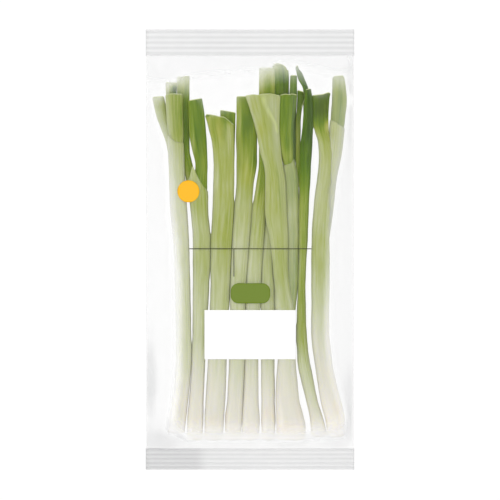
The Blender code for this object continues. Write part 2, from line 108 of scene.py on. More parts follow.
def eased(knots: np.ndarray, values: np.ndarray, at: np.ndarray) -> np.ndarray:
    """Reads a smooth curve through rows of values that never overshoots them.

    Args:
        knots: Where the rows are, rising.
        values: One row of values for each knot.
        at: Where to read the curve.

    Returns:
        One row of values for each place read.
    """
    steps = np.diff(knots)[:, None]
    slopes = np.diff(values, axis=0) / steps
    tangents = np.vstack([slopes[:1], np.zeros_like(slopes[1:]), slopes[-1:]])
    same_way = slopes[:-1] * slopes[1:] > 0
    total = np.where(same_way, slopes[:-1] + slopes[1:], 1.0)
    tangents[1:-1] = np.where(same_way, 2 * slopes[:-1] * slopes[1:] / total, 0.0)
    span = np.clip(np.searchsorted(knots, at, side="right") - 1, 0, len(knots) - 2)
    width = steps[span]
    t = np.clip((at - knots[span])[:, None] / width, 0.0, 1.0)
    near, far = values[span], values[span + 1]
    return (
        near * (1 + 2 * t) * (1 - t) ** 2
        + far * t * t * (3 - 2 * t)
        + tangents[span] * width * t * (1 - t) ** 2
        - tangents[span + 1] * width * t * t * (1 - t)
    )


def ramp(value: np.ndarray, low: float, high: float) -> np.ndarray:
    """Rises smoothly from 0 at low to 1 at high.

    Args:
        value: The values to read.
        low: Where the rise starts. It may be above high, for a fall.
        high: Where the rise ends.

    Returns:
        A share from 0 to 1 for each value.
    """
    share = np.clip((value - low) / (high - low), 0.0, 1.0)
    return share * share * (3 - 2 * share)


def averaged(values: np.ndarray) -> np.ndarray:
    """Evens out a row of values: each becomes the mean of itself and the two on either side of it."""
    return np.convolve(np.pad(values, 2, mode="edge"), np.ones(5) / 5, mode="valid")


def new_mesh(name: str, bm: bmesh.types.BMesh, material: bpy.types.Material) -> bpy.types.Mesh:
    """Makes a mesh of a bmesh.

    Args:
        name: The mesh's name.
        bm: Its shape, in metres. It is freed.
        material: Its finish.

    Returns:
        The mesh.
    """
    mesh = bpy.data.meshes.new(name)
    bm.to_mesh(mesh)
    bm.free()
    mesh.materials.append(material)
    return mesh


def new_object(name: str, data: bpy.types.ID) -> bpy.types.Object:
    """Puts a mesh, a light or a camera into the scene.

    Args:
        name: The object's name.
        data: What it shows.

    Returns:
        The object.
    """
    made = bpy.data.objects.new(name, data)
    bpy.context.scene.collection.objects.link(made)
    return made


def finished(name: str, bm: bmesh.types.BMesh, material: bpy.types.Material) -> bpy.types.Object:
    """Makes a piece of a bmesh, dresses it and lets it ride on the part.

    Args:
        name: The piece's name.
        bm: Its shape, in metres. It is freed.
        material: Its finish.

    Returns:
        The new object.
    """
    mesh = new_mesh(name, bm, material)
    mesh.shade_smooth()
    piece = new_object(name, mesh)
    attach(piece, "root")
    return piece


@dataclass
class NodeSheet:
    """A short way to write the nodes of a material or a group."""

    tree: bpy.types.NodeTree

    def feed(self, node: bpy.types.Node, inputs: dict) -> None:
        """Gives a node's inputs their values.

        Args:
            node: The node.
            inputs: A value or a socket for each named or numbered input.
        """
        for key, value in inputs.items():
            if isinstance(value, Socket):
                self.tree.links.new(value, node.inputs[key])
            else:
                node.inputs[key].default_value = value

    def add(self, kind: str, inputs: dict | None = None, **settings: object) -> bpy.types.Node:
        """Adds a node.

        Args:
            kind: The node's type, without the words ShaderNode.
            inputs: A value or a socket for each named or numbered input.
            settings: The node's own settings.

        Returns:
            The new node.
        """
        node = self.tree.nodes.new("ShaderNode" + kind)
        for key, value in settings.items():
            setattr(node, key, value)
        self.feed(node, inputs or {})
        return node

    def read(self, attribute: str) -> Socket:
        """The value of one of the piece's own attributes."""
        return self.add("Attribute", attribute_name=attribute).outputs["Fac"]

    def math(self, operation: str, *values: object, clamp: bool = False) -> Socket:
        """Adds a Math node.

        Args:
            operation: What it does, such as MULTIPLY.
            values: Its inputs, as numbers or sockets.
            clamp: Whether the result is held between 0 and 1.

        Returns:
            Its result.
        """
        node = self.add("Math", dict(enumerate(values)), operation=operation, use_clamp=clamp)
        return node.outputs[0]

    def mixed(self, share: object, first: object, second: object) -> Socket:
        """Blends two colours.

        Args:
            share: How much of the second colour shows.
            first: A colour or a socket.
            second: A colour or a socket.

        Returns:
            The blended colour.
        """
        inputs = dict(zip((MIX_SHARE, *COLOUR_INPUTS), (share, first, second)))
        return self.add("Mix", inputs, data_type="RGBA", clamp_factor=True).outputs[COLOUR_RESULT]

    def noise(self, vector: Socket, scale: object, detail: float = 2.0) -> Socket:
        """Reads a noise pattern.

        Args:
            vector: Where it is read.
            scale: How fine it is, as a number or a socket.
            detail: How many finer layers it has.

        Returns:
            Its value, from 0 to 1.
        """
        inputs = {"Vector": vector, "Scale": scale, "Detail": detail, "Roughness": NOISE_ROUGHNESS}
        return self.add("TexNoise", inputs).outputs["Fac"]


def new_material(name: str) -> tuple[bpy.types.Material, NodeSheet, bpy.types.Node]:
    """Starts a material with one Principled shader.

    Args:
        name: The material's name.

    Returns:
        The material, its node sheet and its shader.
    """
    material = bpy.data.materials.new(name)
    material.use_nodes = True
    return material, NodeSheet(material.node_tree), material.node_tree.nodes["Principled BSDF"]


def grain_group() -> bpy.types.ShaderNodeTree:
    """Builds the node group of a streaked grain, which the skin and the film place with their own values.

    Returns:
        A group that takes a vector in millimetres, the scales of the fine and the broad streaks and their
        squeeze along Z. It gives a fine streak, a broad streak and a blotch, each from 0 to 1.
    """
    group = bpy.data.node_groups.new("streaked_grain", "ShaderNodeTree")
    sockets = {"Vector": "Vector", "Fine Scale": "Float", "Broad Scale": "Float", "Squeeze": "Float"}
    for name, kind in sockets.items():
        group.interface.new_socket(name, in_out="INPUT", socket_type="NodeSocket" + kind)
    for name in ("Fine", "Broad", "Blotch"):
        group.interface.new_socket(name, in_out="OUTPUT", socket_type="NodeSocketFloat")
    sheet = NodeSheet(group)
    given = group.nodes.new("NodeGroupInput").outputs
    results = group.nodes.new("NodeGroupOutput").inputs
    streaked = sheet.add("CombineXYZ", {"X": 1.0, "Y": 1.0, "Z": given["Squeeze"]}).outputs[0]
    layers = (
        ("Fine", given["Fine Scale"], 3.0, streaked),
        ("Broad", given["Broad Scale"], 1.0, streaked),
        ("Blotch", sheet.math("MULTIPLY", given["Broad Scale"], 0.5), 1.0, (1.0, 1.0, BLOTCH_SQUEEZE)),
    )
    for name, scale, detail, factors in layers:
        squeezed = sheet.add("VectorMath", {0: given["Vector"], 1: factors}, operation="MULTIPLY").outputs[0]
        group.links.new(sheet.noise(squeezed, scale, detail), results[name])
    return group


@dataclass(frozen=True)
class Grain:
    """The grain of one material: its streaks' scales, and their stretch along the Z of their vector."""

    fine: float
    broad: float
    stretch: float

    def place(self, sheet: NodeSheet, group: bpy.types.ShaderNodeTree, vector: Socket) -> list[Socket]:
        """Places the grain's node group in the material.

        Args:
            sheet: The material's node sheet.
            group: The node group.
            vector: Where the grain is read, in millimetres.

        Returns:
            The fine streak, the broad streak and the blotch.
        """
        values = {"Fine Scale": self.fine, "Broad Scale": self.broad, "Squeeze": 1 / self.stretch}
        return list(sheet.add("Group", {"Vector": vector, **values}, node_tree=group).outputs)


@dataclass(frozen=True)
class OnionSkin:
    """The finish of the stems and leaves, from white roots to dark leaf ends.

    The colours are seen in even light, from 0 to 255. The first number of a green is how green the plant is.
    """

    greens: tuple[tuple[float, Colour], ...] = (
        (0.00, (233, 229, 219)),
        (0.12, (221, 218, 207)),
        (0.25, (212, 211, 194)),
        (0.40, (196, 200, 168)),
        (0.52, (177, 184, 135)),
        (0.64, (154, 165, 83)),
        (0.70, (135, 151, 59)),
        (0.75, (118, 141, 35)),
        (0.86, (83, 117, 10)),
        (1.00, (49, 81, 6)),
    )
    yellow: Colour = (176, 176, 54)
    blush: Colour = (232, 212, 190)
    # Grey waxy bloom. Mixed in, it also paints sheen along one side of some shoots, and shade on the sheath of
    # onion 7.
    wax: Colour = (186, 190, 176)
    cut_edge_and_highlight: Colour = (206, 216, 150)
    dry: Colour = (176, 156, 112)
    grain: Grain = Grain(1.5, 0.4, 34.0)
    streak_depth: float = 0.0002  # in metres
    roughness: float = 0.42
    translucence: float = 0.45
    light_reach: float = 0.0012  # how far light spreads inside, in metres
    light_spread: tuple[float, float, float] = (1.0, 1.0, 0.35)  # for red, green and blue

    def material(self, group: bpy.types.ShaderNodeTree) -> bpy.types.Material:
        """Builds the finish.

        Args:
            group: The node group of the grain.

        Returns:
            The material, which reads the shoots' own attributes.
        """
        material, sheet, shader = new_material("onion_skin")
        vector = sheet.add("Attribute", attribute_name="grain").outputs["Vector"]
        fine, broad, blotch = self.grain.place(sheet, group, vector)
        green = sheet.read("green")
        ribbed = sheet.math("MULTIPLY_ADD", green, 0.3, 0.16)
        streaks = sheet.math("MULTIPLY", sheet.math("SUBTRACT", fine, 0.5), ribbed)
        bands = sheet.math("MULTIPLY_ADD", broad, 0.12, -0.06)
        toned = sheet.math("ADD", sheet.math("ADD", green, streaks), bands, clamp=True)
        colour = self._greens(sheet, toned)
        colour = sheet.mixed(self._share(sheet, "yellow", blotch, 1.3), colour, srgb(*self.yellow))
        pale = sheet.math("MULTIPLY_ADD", green, -3.6, 1.0, clamp=True)
        patch = sheet.math("MULTIPLY_ADD", blotch, 1.8, -0.9, clamp=True)
        colour = sheet.mixed(sheet.math("MULTIPLY", pale, patch), colour, srgb(*self.blush))
        # Grey waxy bloom and painted sheen.
        colour = sheet.mixed(self._share(sheet, "wax", broad, 0.9), colour, srgb(*self.wax))
        # Pale cut rims, and painted highlights along the pale creases.
        colour = sheet.mixed(sheet.read("cut"), colour, srgb(*self.cut_edge_and_highlight))
        colour = sheet.mixed(sheet.read("dry"), colour, srgb(*self.dry))
        height = sheet.math("ADD", fine, sheet.math("MULTIPLY", broad, 1.2))
        bump = sheet.add("Bump", {"Height": height, "Strength": 0.3, "Distance": self.streak_depth})
        surface = {
            "Base Color": colour,
            "Normal": bump.outputs[0],
            "Roughness": sheet.math("MULTIPLY_ADD", fine, 0.2, self.roughness - 0.06),
            "Subsurface Weight": self.translucence,
            "Subsurface Radius": self.light_spread,
            "Subsurface Scale": self.light_reach,
            "Specular IOR Level": 0.08,
        }
        sheet.feed(shader, surface)
        return material

    def _greens(self, sheet: NodeSheet, toned: Socket) -> Socket:
        """Turns how green the plant is into its colour.

        Args:
            sheet: The material's node sheet.
            toned: How green it is, from 0 to 1.

        Returns:
            The colour.
        """
        node = sheet.add("ValToRGB", {"Fac": toned})
        stops = node.color_ramp.elements
        while len(stops) < len(self.greens):
            stops.new(0.5)
        for stop, (place, _) in zip(stops, self.greens):
            stop.position = place
        for stop, (_, colour) in zip(stops, self.greens):
            stop.color = srgb(*colour)
        return node.outputs["Color"]

    @staticmethod
    def _share(sheet: NodeSheet, attribute: str, pattern: Socket, gain: float) -> Socket:
        """Breaks up one of the shoots' attributes with a pattern.

        Args:
            sheet: The material's node sheet.
            attribute: The attribute's name.
            pattern: The pattern that breaks it up.
            gain: How strongly the two together show.

        Returns:
            The share, from 0 to 1.
        """
        strength = sheet.math("MULTIPLY", pattern, gain)
        return sheet.math("MULTIPLY", sheet.read(attribute), strength, clamp=True)


@dataclass(frozen=True)
class ClearFilm:
    """The finish of the film: clear where it lies on the onions, milky where it stands off them."""

    white: Colour = (253, 253, 253)
    grey: Colour = (177, 177, 178)
    grain: Grain = Grain(0.32, 0.07, 2.5)
    ripple_depth: float = 0.0003  # in metres
    roughness: float = 0.14
    index: float = 1.5
    edge_on: float = 0.3
    levelling: float = 5.0

    def material(self, group: bpy.types.ShaderNodeTree) -> bpy.types.Material:
        """Builds the finish.

        Args:
            group: The node group of the grain.

        Returns:
            The material, which reads the film's own attributes.
        """
        material, sheet, shader = new_material("clear_film")
        place = sheet.add("TexCoord").outputs["Object"]
        millimetres = sheet.add("VectorMath", {0: place, "Scale": 1 / MM}, operation="SCALE").outputs[0]
        fine, broad, blotch = self.grain.place(sheet, group, millimetres)
        spread = sheet.math("MULTIPLY_ADD", broad, 0.2, 0.9)
        milky = sheet.math("MULTIPLY", sheet.read("veil"), spread)
        turned = sheet.math("POWER", sheet.add("LayerWeight", {"Blend": 0.5}).outputs["Facing"], 4.0)
        level = self._levelled(sheet, sheet.math("MULTIPLY", milky, self.levelling, clamp=True))
        ripples = {"Height": fine, "Strength": 0.25, "Distance": self.ripple_depth, "Normal": level}
        surface = {
            "Base Color": sheet.mixed(sheet.read("shade"), srgb(*self.white), srgb(*self.grey)),
            "Alpha": sheet.math("MULTIPLY_ADD", turned, self.edge_on, milky, clamp=True),
            "Roughness": sheet.math("MULTIPLY_ADD", blotch, 0.12, self.roughness - 0.06),
            "Normal": sheet.add("Bump", ripples).outputs[0],
            "IOR": self.index,
        }
        sheet.feed(shader, surface)
        return material

    @staticmethod
    def _levelled(sheet: NodeSheet, share: Socket) -> Socket:
        """Lights the milky film as if it faced up, because such film spreads the light within itself.

        Args:
            sheet: The material's node sheet.
            share: How much the film is evened out.

        Returns:
            A normal that leans from the film's own towards straight up.
        """
        own = sheet.add("NewGeometry").outputs["Normal"]
        inputs = dict(zip((MIX_SHARE, *VECTOR_INPUTS), (share, own, (0.0, 0.0, 1.0))))
        leaning = sheet.add("Mix", inputs, data_type="VECTOR").outputs[VECTOR_RESULT]
        return sheet.add("VectorMath", {0: leaning}, operation="NORMALIZE").outputs[0]


@dataclass(frozen=True)
class PrintInk:
    """The finish of one printed field on the film."""

    name: str
    colour: Colour
    roughness: float = 0.4
    darker: float = 0.86
    mottle_scale: float = 900.0

    def material(self) -> bpy.types.Material:
        """Builds the finish: solid ink that is very slightly uneven.

        Returns:
            The material.
        """
        material, sheet, shader = new_material(self.name)
        uneven = sheet.noise(sheet.add("TexCoord").outputs["Object"], self.mottle_scale)
        share = sheet.math("MULTIPLY", uneven, 0.12)
        dark = srgb(*(value * self.darker for value in self.colour))
        surface = {
            "Base Color": sheet.mixed(share, srgb(*self.colour), dark),
            "Roughness": sheet.math("MULTIPLY_ADD", uneven, 0.16, self.roughness - 0.08),
            "Specular IOR Level": 0.2,
        }
        sheet.feed(shader, surface)
        return material


@dataclass(frozen=True)
class Tone:
    """How green, yellow and waxy a shoot is, with painted sheen, painted side shade and painted edge light in
    it.
    """

    greens: Line  # height on Y, how green
    yellow: float = 0.08
    wax: float = 0.05
    waxy_side: Side = Side.NONE
    # Painted light: how much less green the shoot is towards both edges, which lightens its sides and the
    # crevices between stems.
    edge: float = -0.06
    # Painted shade: how much greener and darker the shoot turns towards its right edge, and paler towards its
    # left, as if lit from the left.
    lean: float = 0.05

    def green_at(self, y: np.ndarray) -> np.ndarray:
        """How green the shoot is at each height."""
        places, values = zip(*self.greens)
        return np.interp(y, places, values)

    def wax_at(self, across: np.ndarray) -> np.ndarray:
        """How waxy the shoot is, with the painted sheen that grows towards one side.

        Args:
            across: Where it is read, from -1 at its left edge to 1 at its right edge.

        Returns:
            The share of grey waxy bloom and painted sheen.
        """
        if self.waxy_side is Side.NONE:
            return np.full_like(across, self.wax)
        return self.wax * (0.25 + 1.5 * ramp(across * self.waxy_side.value, -0.2, 1.0))


@dataclass(frozen=True)
class Fold:
    """A crease along a line of a leaf's upper face; where it is pale, a painted highlight runs along it."""

    line: Line
    height: float = 0.3
    width: float = 0.9
    # How strongly a painted highlight pales the crease.
    pale: float = 0.0

    def near(self, x: np.ndarray, y: np.ndarray) -> np.ndarray:
        """How near each point is to the crease.

        Args:
            x: Places across.
            y: Places along.

        Returns:
            1 on the crease, falling to 0 beside it.
        """
        nearest = np.full_like(x, 1e6)
        for (x0, y0), (x1, y1) in zip(self.line, self.line[1:]):
            dx, dy = x1 - x0, y1 - y0
            along = np.clip(((x - x0) * dx + (y - y0) * dy) / (dx * dx + dy * dy), 0.0, 1.0)
            nearest = np.minimum(nearest, np.hypot(x - x0 - along * dx, y - y0 - along * dy))
        return np.exp(-((nearest / self.width) ** 2))


@dataclass(frozen=True)
class Spot:
    """Something that shows in its middle and fades out round it."""

    x: float
    y: float
    wide: float
    long: float

    def share(self, x: np.ndarray, y: np.ndarray) -> np.ndarray:
        """How strongly the spot shows: 1 in its middle, falling to 0 round it."""
        return np.exp(-(((x - self.x) / self.wide) ** 2) - ((y - self.y) / self.long) ** 2)


@dataclass(frozen=True)
class Patch(Spot):
    """A soft spot where a shoot's tone differs."""

    green: float = 0.0
    yellow: float = 0.0
    wax: float = 0.0
    dry: float = 0.0


@dataclass(frozen=True)
class Shoot:
    """A stem or a leaf: rows of the box that holds its cross-section, from its lower to its upper end."""

    rows: Rows  # height on Y, left, right, low, high
    tone: Tone
    lower: LowerEnd = LowerEnd.SUNK
    upper: UpperEnd = UpperEnd.LEAF_CUT
    top: Line = ()  # the line of its upper end as seen from above: x, y
    top_reach: float = 12.0  # how far below its upper end the rings bend to follow that line
    inside: int = -1  # the number of the shoot whose sheath holds its lower part, or -1
    wall: float = 0.7
    roundness: float = 2.4
    folds: tuple[Fold, ...] = ()
    patches: tuple[Patch, ...] = ()

    @property
    def is_stem(self) -> bool:
        """Whether it carries the roots."""
        return self.lower is LowerEnd.ROOTS

    def boxes(self, y: np.ndarray) -> np.ndarray:
        """The left, right, low and high of its section at each height."""
        table = np.array(self.rows)
        return eased(table[:, 0], table[:, 1:], np.clip(y, table[0, 0], table[-1, 0]))

    def end_at(self, x: np.ndarray) -> np.ndarray:
        """The height of its upper end at each place across."""
        places, heights = zip(*(self.top or ((0.0, self.rows[-1][0]),)))
        return np.interp(x, places, heights)


STEM_SIDES = 72
LEAF_SIDES = 60
ROW_STEP = 1.5
CLOSE_STEP = 0.5
# How far along each of a shoot's first rings lies, and its share of the girth.
ROOT_PLATE = ((0.0, 0.3), (0.02, 0.6), (0.1, 0.8), (0.3, 0.92), (0.7, 0.98), (1.2, 1.0))
LEAF_START = ((0.0, 0.6), (0.4, 0.9))
ROOT_TAPER = 0.24
ROOT_TAPER_REACH = 10.0
CUT_SLANT = 0.7
# The rings over the rim of a cut: their share of its slant, their share of its wall and how cut they look.
CUT_RINGS = ((1.0, 0.0, 0.5), (0.8, 0.15, 1.0), (0.4, 0.6, 1.0))
# How far below the rim the rings of the hollow in a cut lie.
HOLLOW_STEPS = (0.0, 0.25, 1.2, 3.0, 6.0, 10.0, 15.0)
LEAST_HALF_WIDTH = 0.15
LEAST_HALF_DEPTH = 0.12
RELIEF_DEPTHS = (0.2, 1.5)  # the half depths between which the ribs grow to their height
UPPER_FACE = (0.15, 0.6)  # the sines of a ring's turn between which its upper face sets in
TUCK_SLACK = 0.08
TUCK_GROWTH = 0.2
# How many ribs lie round a shoot, and their height.
RIBS = ((7, 0.03), (11, 0.035), (16, 0.035), (19, 0.025))
RIB_SWAY = (0.5, 0.045)  # how far the ribs sway round it, and the sway's rate along it
# How many waves a millimetre holds, and their height.
WAVER = ((0.021, 0.1), (0.047, 0.07), (0.11, 0.035))
INSIDE_GREEN = 0.62
RIM_CUT = 0.35
ROOT_DRYNESS = 0.2
GRAIN_SHIFT = 400
ROOT_STUBS = 20
STUB_HEIGHT = 4.0  # how far above the root end the stem's section sets their spread
STUB_SPREAD = 0.42
STUB_LENGTHS = (0.6, 0.9)
STUB_RADII = (0.22, 0.36)
STUB_TIP = 0.75
STUB_SUNK = 0.4
STUB_LEAN = 0.12
STUB_SIDES = 7
STUB_DRYNESS = 0.4
STEM_ROUNDNESS = 3.3
GRAIN_GIRTH = 5.0
MARKS = ("green", "yellow", "wax", "cut", "dry")
CAD_REST = 1.6
REST = 0.5  # height of the onions' undersides on the thin film
CAD_TOP = 12.0
TOP = 11.75


def settle(z: np.ndarray) -> np.ndarray:
    """Turns a height among the solids into the one that it has within the thinner film."""
    return REST + (z - CAD_REST) * (TOP - REST) / (CAD_TOP - CAD_REST)


@dataclass
class Onion:
    """One spring onion: a stem with its roots trimmed off, and the leaves that grew from it, as one piece."""

    number: int
    shoots: tuple[Shoot, ...]
    slot: str = "green_stem"
    random: np.random.Generator = field(init=False)

    def __post_init__(self) -> None:
        """Starts its own run of random draws."""
        self.random = np.random.default_rng(100 + self.number)

    def build(self, material: bpy.types.Material) -> bpy.types.Object:
        """Models the onion.

        Args:
            material: The finish of its skin.

        Returns:
            The finished piece, which replaces the onion's solid.
        """
        bm = bmesh.new()
        for name in MARKS:
            bm.verts.layers.float.new(name)
        bm.verts.layers.float_vector.new("grain")
        for shoot in self.shoots:
            self._loft(bm, shoot)
        self._root_stubs(bm)
        bmesh.ops.recalc_face_normals(bm, faces=bm.faces)
        piece = finished(f"spring_onion_{self.number}", bm, material)
        piece.data.set_sharp_from_angle(angle=math.radians(SHARP_ANGLE))
        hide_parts(f"onion_{self.number}")
        return piece

    def _stations(self, shoot: Shoot) -> np.ndarray:
        """Lays out the rings of a shoot.

        Args:
            shoot: The stem or leaf.

        Returns:
            For each ring its height, its share of the girth, its depth inside the skin and how cut it looks.
        """
        first, last = shoot.rows[0][0], shoot.rows[-1][0]
        begin = ROOT_PLATE if shoot.is_stem else LEAF_START
        rings = [(first + along, share, 0.0, 0.0) for along, share in begin]
        start = rings[-1][0]
        count = int((last - CLOSE_STEP - start) / ROW_STEP)
        rings += [(y, 1.0, 0.0, 0.0) for y in np.linspace(start, last - CLOSE_STEP, count + 1)[1:]]
        rings += [(last - CUT_SLANT * down, 1.0, inward * shoot.wall, cut) for down, inward, cut in CUT_RINGS]
        rings += [(last - step, 1.0, shoot.wall, max(0.0, 1.0 - step)) for step in HOLLOW_STEPS]
        return np.array(rings)

    def _ring_points(self, shoot: Shoot, rings: np.ndarray, turns: np.ndarray) -> np.ndarray:
        """Works out where the points of all the rings lie.

        Args:
            shoot: The stem or leaf.
            rings: Its rings, from _stations.
            turns: The angle of each point round a ring.

        Returns:
            Points in millimetres, ring by ring.
        """
        height, share, wall = rings[:, 0:1], rings[:, 1:2], rings[:, 2:3]
        left, right, low, high = (shoot.boxes(rings[:, 0])[:, i : i + 1] for i in range(4))
        if shoot.is_stem:
            first = shoot.rows[0][0]
            high = high - (high - low) * ROOT_TAPER * ramp(height, first + ROOT_TAPER_REACH, first)
        half_width = np.maximum((right - left) / 2 * share - wall, LEAST_HALF_WIDTH)
        half_depth = np.maximum((high - low) / 2 * share - wall, LEAST_HALF_DEPTH)
        cos, sin = np.cos(turns)[None], np.sin(turns)[None]
        power = 2 / (STEM_ROUNDNESS if shoot.is_stem else shoot.roundness)
        x = (left + right) / 2 + np.sign(cos) * np.abs(cos) ** power * half_width
        z = (low + high) / 2 + np.sign(sin) * np.abs(sin) ** power * half_depth
        out = self._relief(height, turns) * share * ramp(half_depth, *RELIEF_DEPTHS)
        length = np.hypot(cos / half_width, sin / half_depth)
        x = x + out * cos / half_width / length
        z = z + out * sin / half_depth / length
        y = np.broadcast_to(height, x.shape).copy()
        upper = ramp(sin, *UPPER_FACE)
        for fold in shoot.folds:
            z = z + fold.height * fold.near(x, y) * upper
        last = shoot.rows[-1][0]
        stretch = ramp(y, last - shoot.top_reach, last)
        y = y + stretch * (shoot.end_at(x) - last)
        return self._tucked(shoot, np.stack([x, y, settle(z)], axis=-1))

    def _relief(self, height: np.ndarray, turns: np.ndarray) -> np.ndarray:
        """The lengthways ribs and the slight waver of a shoot's surface.

        Args:
            height: The height of each ring.
            turns: The angle of each point.

        Returns:
            How far each point stands out.
        """
        relief = np.zeros((len(height), len(turns)))
        for count, depth in RIBS:
            phase, drift = self.random.uniform(0, 2 * math.pi, 2)
            sway = RIB_SWAY[0] * np.sin(height * RIB_SWAY[1] + drift)
            relief += depth * np.cos(count * turns[None] + phase + sway)
        for rate, depth in WAVER:
            phase, lobe = self.random.uniform(0, 2 * math.pi, 2)
            relief += depth * np.sin(2 * math.pi * rate * height + phase) * np.cos(2 * turns[None] + lobe)
        return relief

    def _tucked(self, shoot: Shoot, points: np.ndarray) -> np.ndarray:
        """Keeps the lower part of a leaf inside the sheath that it comes out of.

        Args:
            shoot: The leaf.
            points: Its points.

        Returns:
            The points, pulled in where they would show through the sheath.
        """
        if shoot.inside < 0:
            return points
        sheath = self.shoots[shoot.inside]
        x, y, z = points[..., 0], points[..., 1], points[..., 2]
        boxes = sheath.boxes(np.minimum(y.ravel(), sheath.rows[-1][0]))
        left, right, low, high = (boxes[:, i].reshape(y.shape) for i in range(4))
        low, high = settle(low), settle(high)
        past = np.maximum(y - sheath.end_at(x), 0.0)
        slack = TUCK_GROWTH * past - sheath.wall - TUCK_SLACK
        half_width = (right - left) / 2 + slack
        half_depth = (high - low) / 2 + slack
        dx, dz = x - (left + right) / 2, z - (low + high) / 2
        reach = (np.abs(dx) / half_width) ** sheath.roundness + (np.abs(dz) / half_depth) ** sheath.roundness
        pull = np.where(reach > 1, np.maximum(reach, 1e-9) ** (-1 / sheath.roundness), 1.0)
        return np.stack([x - dx * (1 - pull), y, z - dz * (1 - pull)], axis=-1)

    def _loft(self, bm: bmesh.types.BMesh, shoot: Shoot) -> None:
        """Grows one ring of points along a shoot and closes both ends.

        Args:
            bm: The bmesh to add to.
            shoot: The stem or leaf.
        """
        sides = STEM_SIDES if shoot.is_stem else LEAF_SIDES
        rings = self._stations(shoot)
        ring = bmesh.ops.create_circle(bm, segments=sides, radius=1.0)["verts"]
        edges = list({edge for vert in ring for edge in vert.link_edges})
        turns = np.array([math.atan2(vert.co.y, vert.co.x) for vert in ring])
        points = self._ring_points(shoot, rings, turns)
        marks = self._marks(shoot, rings, turns, points)
        self._place(bm, ring, points[0], marks[0])
        bmesh.ops.contextual_create(bm, geom=edges)
        for row in range(1, len(rings)):
            grown = bmesh.ops.extrude_edge_only(bm, edges=edges)["geom"]
            fresh = {part for part in grown if isinstance(part, bmesh.types.BMVert)}
            edges = [part for part in grown if isinstance(part, bmesh.types.BMEdge)]
            edges = [edge for edge in edges if edge.verts[0] in fresh and edge.verts[1] in fresh]
            above = {}
            for vert in ring:
                for edge in vert.link_edges:
                    other = edge.other_vert(vert)
                    if other in fresh:
                        above[vert] = other
            ring = [above[vert] for vert in ring]
            self._place(bm, ring, points[row], marks[row])
        bmesh.ops.contextual_create(bm, geom=edges)

    def _marks(self, shoot: Shoot, rings: np.ndarray, turns: np.ndarray, points: np.ndarray) -> np.ndarray:
        """What the finish reads at each point of a shoot.

        Args:
            shoot: The stem or leaf.
            rings: Its rings.
            turns: The angle of each point.
            points: Its points.

        Returns:
            The marks and then the three numbers of the grain, for each point.
        """
        x, y = points[..., 0], points[..., 1]
        left, right = x.min(axis=1, keepdims=True), x.max(axis=1, keepdims=True)
        across = (2 * x - left - right) / np.maximum(right - left, 0.1)
        # Painted edge light and painted shade on the right side go into how green it is.
        green = shoot.tone.green_at(y) + shoot.tone.edge * np.abs(across) ** 3 + shoot.tone.lean * across
        inner = (rings[:, 2:3] > 0.5 * shoot.wall) & (rings[:, 3:4] < 0.5)
        green = np.where(inner, green * INSIDE_GREEN, green)
        yellow = shoot.tone.yellow * ramp(green, 0.15, 0.5) * (0.3 + 0.7 * ramp(y, -30.0, 35.0))
        wax = shoot.tone.wax_at(across) * ramp(green, 0.15, 0.45)
        cut = np.broadcast_to(rings[:, 3:4], x.shape).copy()
        if shoot.upper is UpperEnd.SHEATH_RIM:
            cut *= RIM_CUT
        # Pale creases add painted highlights to the cut mark.
        for fold in shoot.folds:
            cut = np.maximum(cut, fold.pale * fold.near(x, y))
        first = shoot.rows[0][0]
        dry = ROOT_DRYNESS * ramp(y, first + 0.5, first + 0.1) * shoot.is_stem
        for patch in shoot.patches:
            share = patch.share(x, y)
            green = green + patch.green * share
            yellow = yellow + patch.yellow * share
            wax = wax + patch.wax * share
            dry = dry + patch.dry * share
        shift = self.random.uniform(0, GRAIN_SHIFT)
        grain = [np.broadcast_to(GRAIN_GIRTH * turned, x.shape) for turned in (np.cos(turns), np.sin(turns))]
        return np.stack([green, yellow, wax, cut, dry, *grain, y + shift], axis=-1)

    @staticmethod
    def _place(bm: bmesh.types.BMesh, ring: list, points: np.ndarray, marks: np.ndarray) -> None:
        """Puts a ring's points in place, with what the finish reads there.

        Args:
            bm: The bmesh that they belong to.
            ring: The points.
            points: Where they go, in millimetres.
            marks: Their marks, from _marks.
        """
        layers = [bm.verts.layers.float[name] for name in MARKS]
        grain = bm.verts.layers.float_vector["grain"]
        for vert, point, mark in zip(ring, (points * MM).tolist(), marks.tolist()):
            vert.co = point
            for layer, value in zip(layers, mark):
                vert[layer] = value
            vert[grain] = mark[len(MARKS) :]

    def _root_stubs(self, bm: bmesh.types.BMesh) -> None:
        """Adds the short stubs of the trimmed roots.

        Args:
            bm: The bmesh to add to.
        """
        stem = self.shoots[0]
        first = stem.rows[0][0]
        left, right, low, high = stem.boxes(np.array([first + STUB_HEIGHT]))[0]
        high -= (high - low) * ROOT_TAPER
        middle = Vector(((left + right) / 2, first, float(settle((low + high) / 2))))
        dry, grain = bm.verts.layers.float["dry"], bm.verts.layers.float_vector["grain"]
        for _ in range(ROOT_STUBS):
            turn = self.random.uniform(0, 2 * math.pi)
            out = math.sqrt(self.random.uniform(0.01, 1.0)) * STUB_SPREAD
            length = self.random.uniform(*STUB_LENGTHS)
            across = math.cos(turn) * out * (right - left) / 2
            up = math.sin(turn) * out * (high - low) / 2
            offset = Vector((across, 0, up))
            sideways = offset.x * STUB_LEAN + self.random.uniform(-0.1, 0.1)
            lean = Vector((sideways, -1.0, offset.z * STUB_LEAN)).normalized()
            place = Matrix.Translation((middle + offset + lean * (length / 2 - STUB_SUNK)) * MM)
            thick = self.random.uniform(*STUB_RADII) * MM
            made = bmesh.ops.create_cone(
                bm,
                cap_ends=True,
                segments=STUB_SIDES,
                radius1=thick,
                radius2=thick * STUB_TIP,
                depth=length * MM,
                matrix=place @ lean.to_track_quat("Z", "Y").to_matrix().to_4x4(),
            )["verts"]
            for vert in made:
                vert[dry] = STUB_DRYNESS
                vert[grain] = (vert.co.x / MM, vert.co.z / MM, vert.co.y / MM)


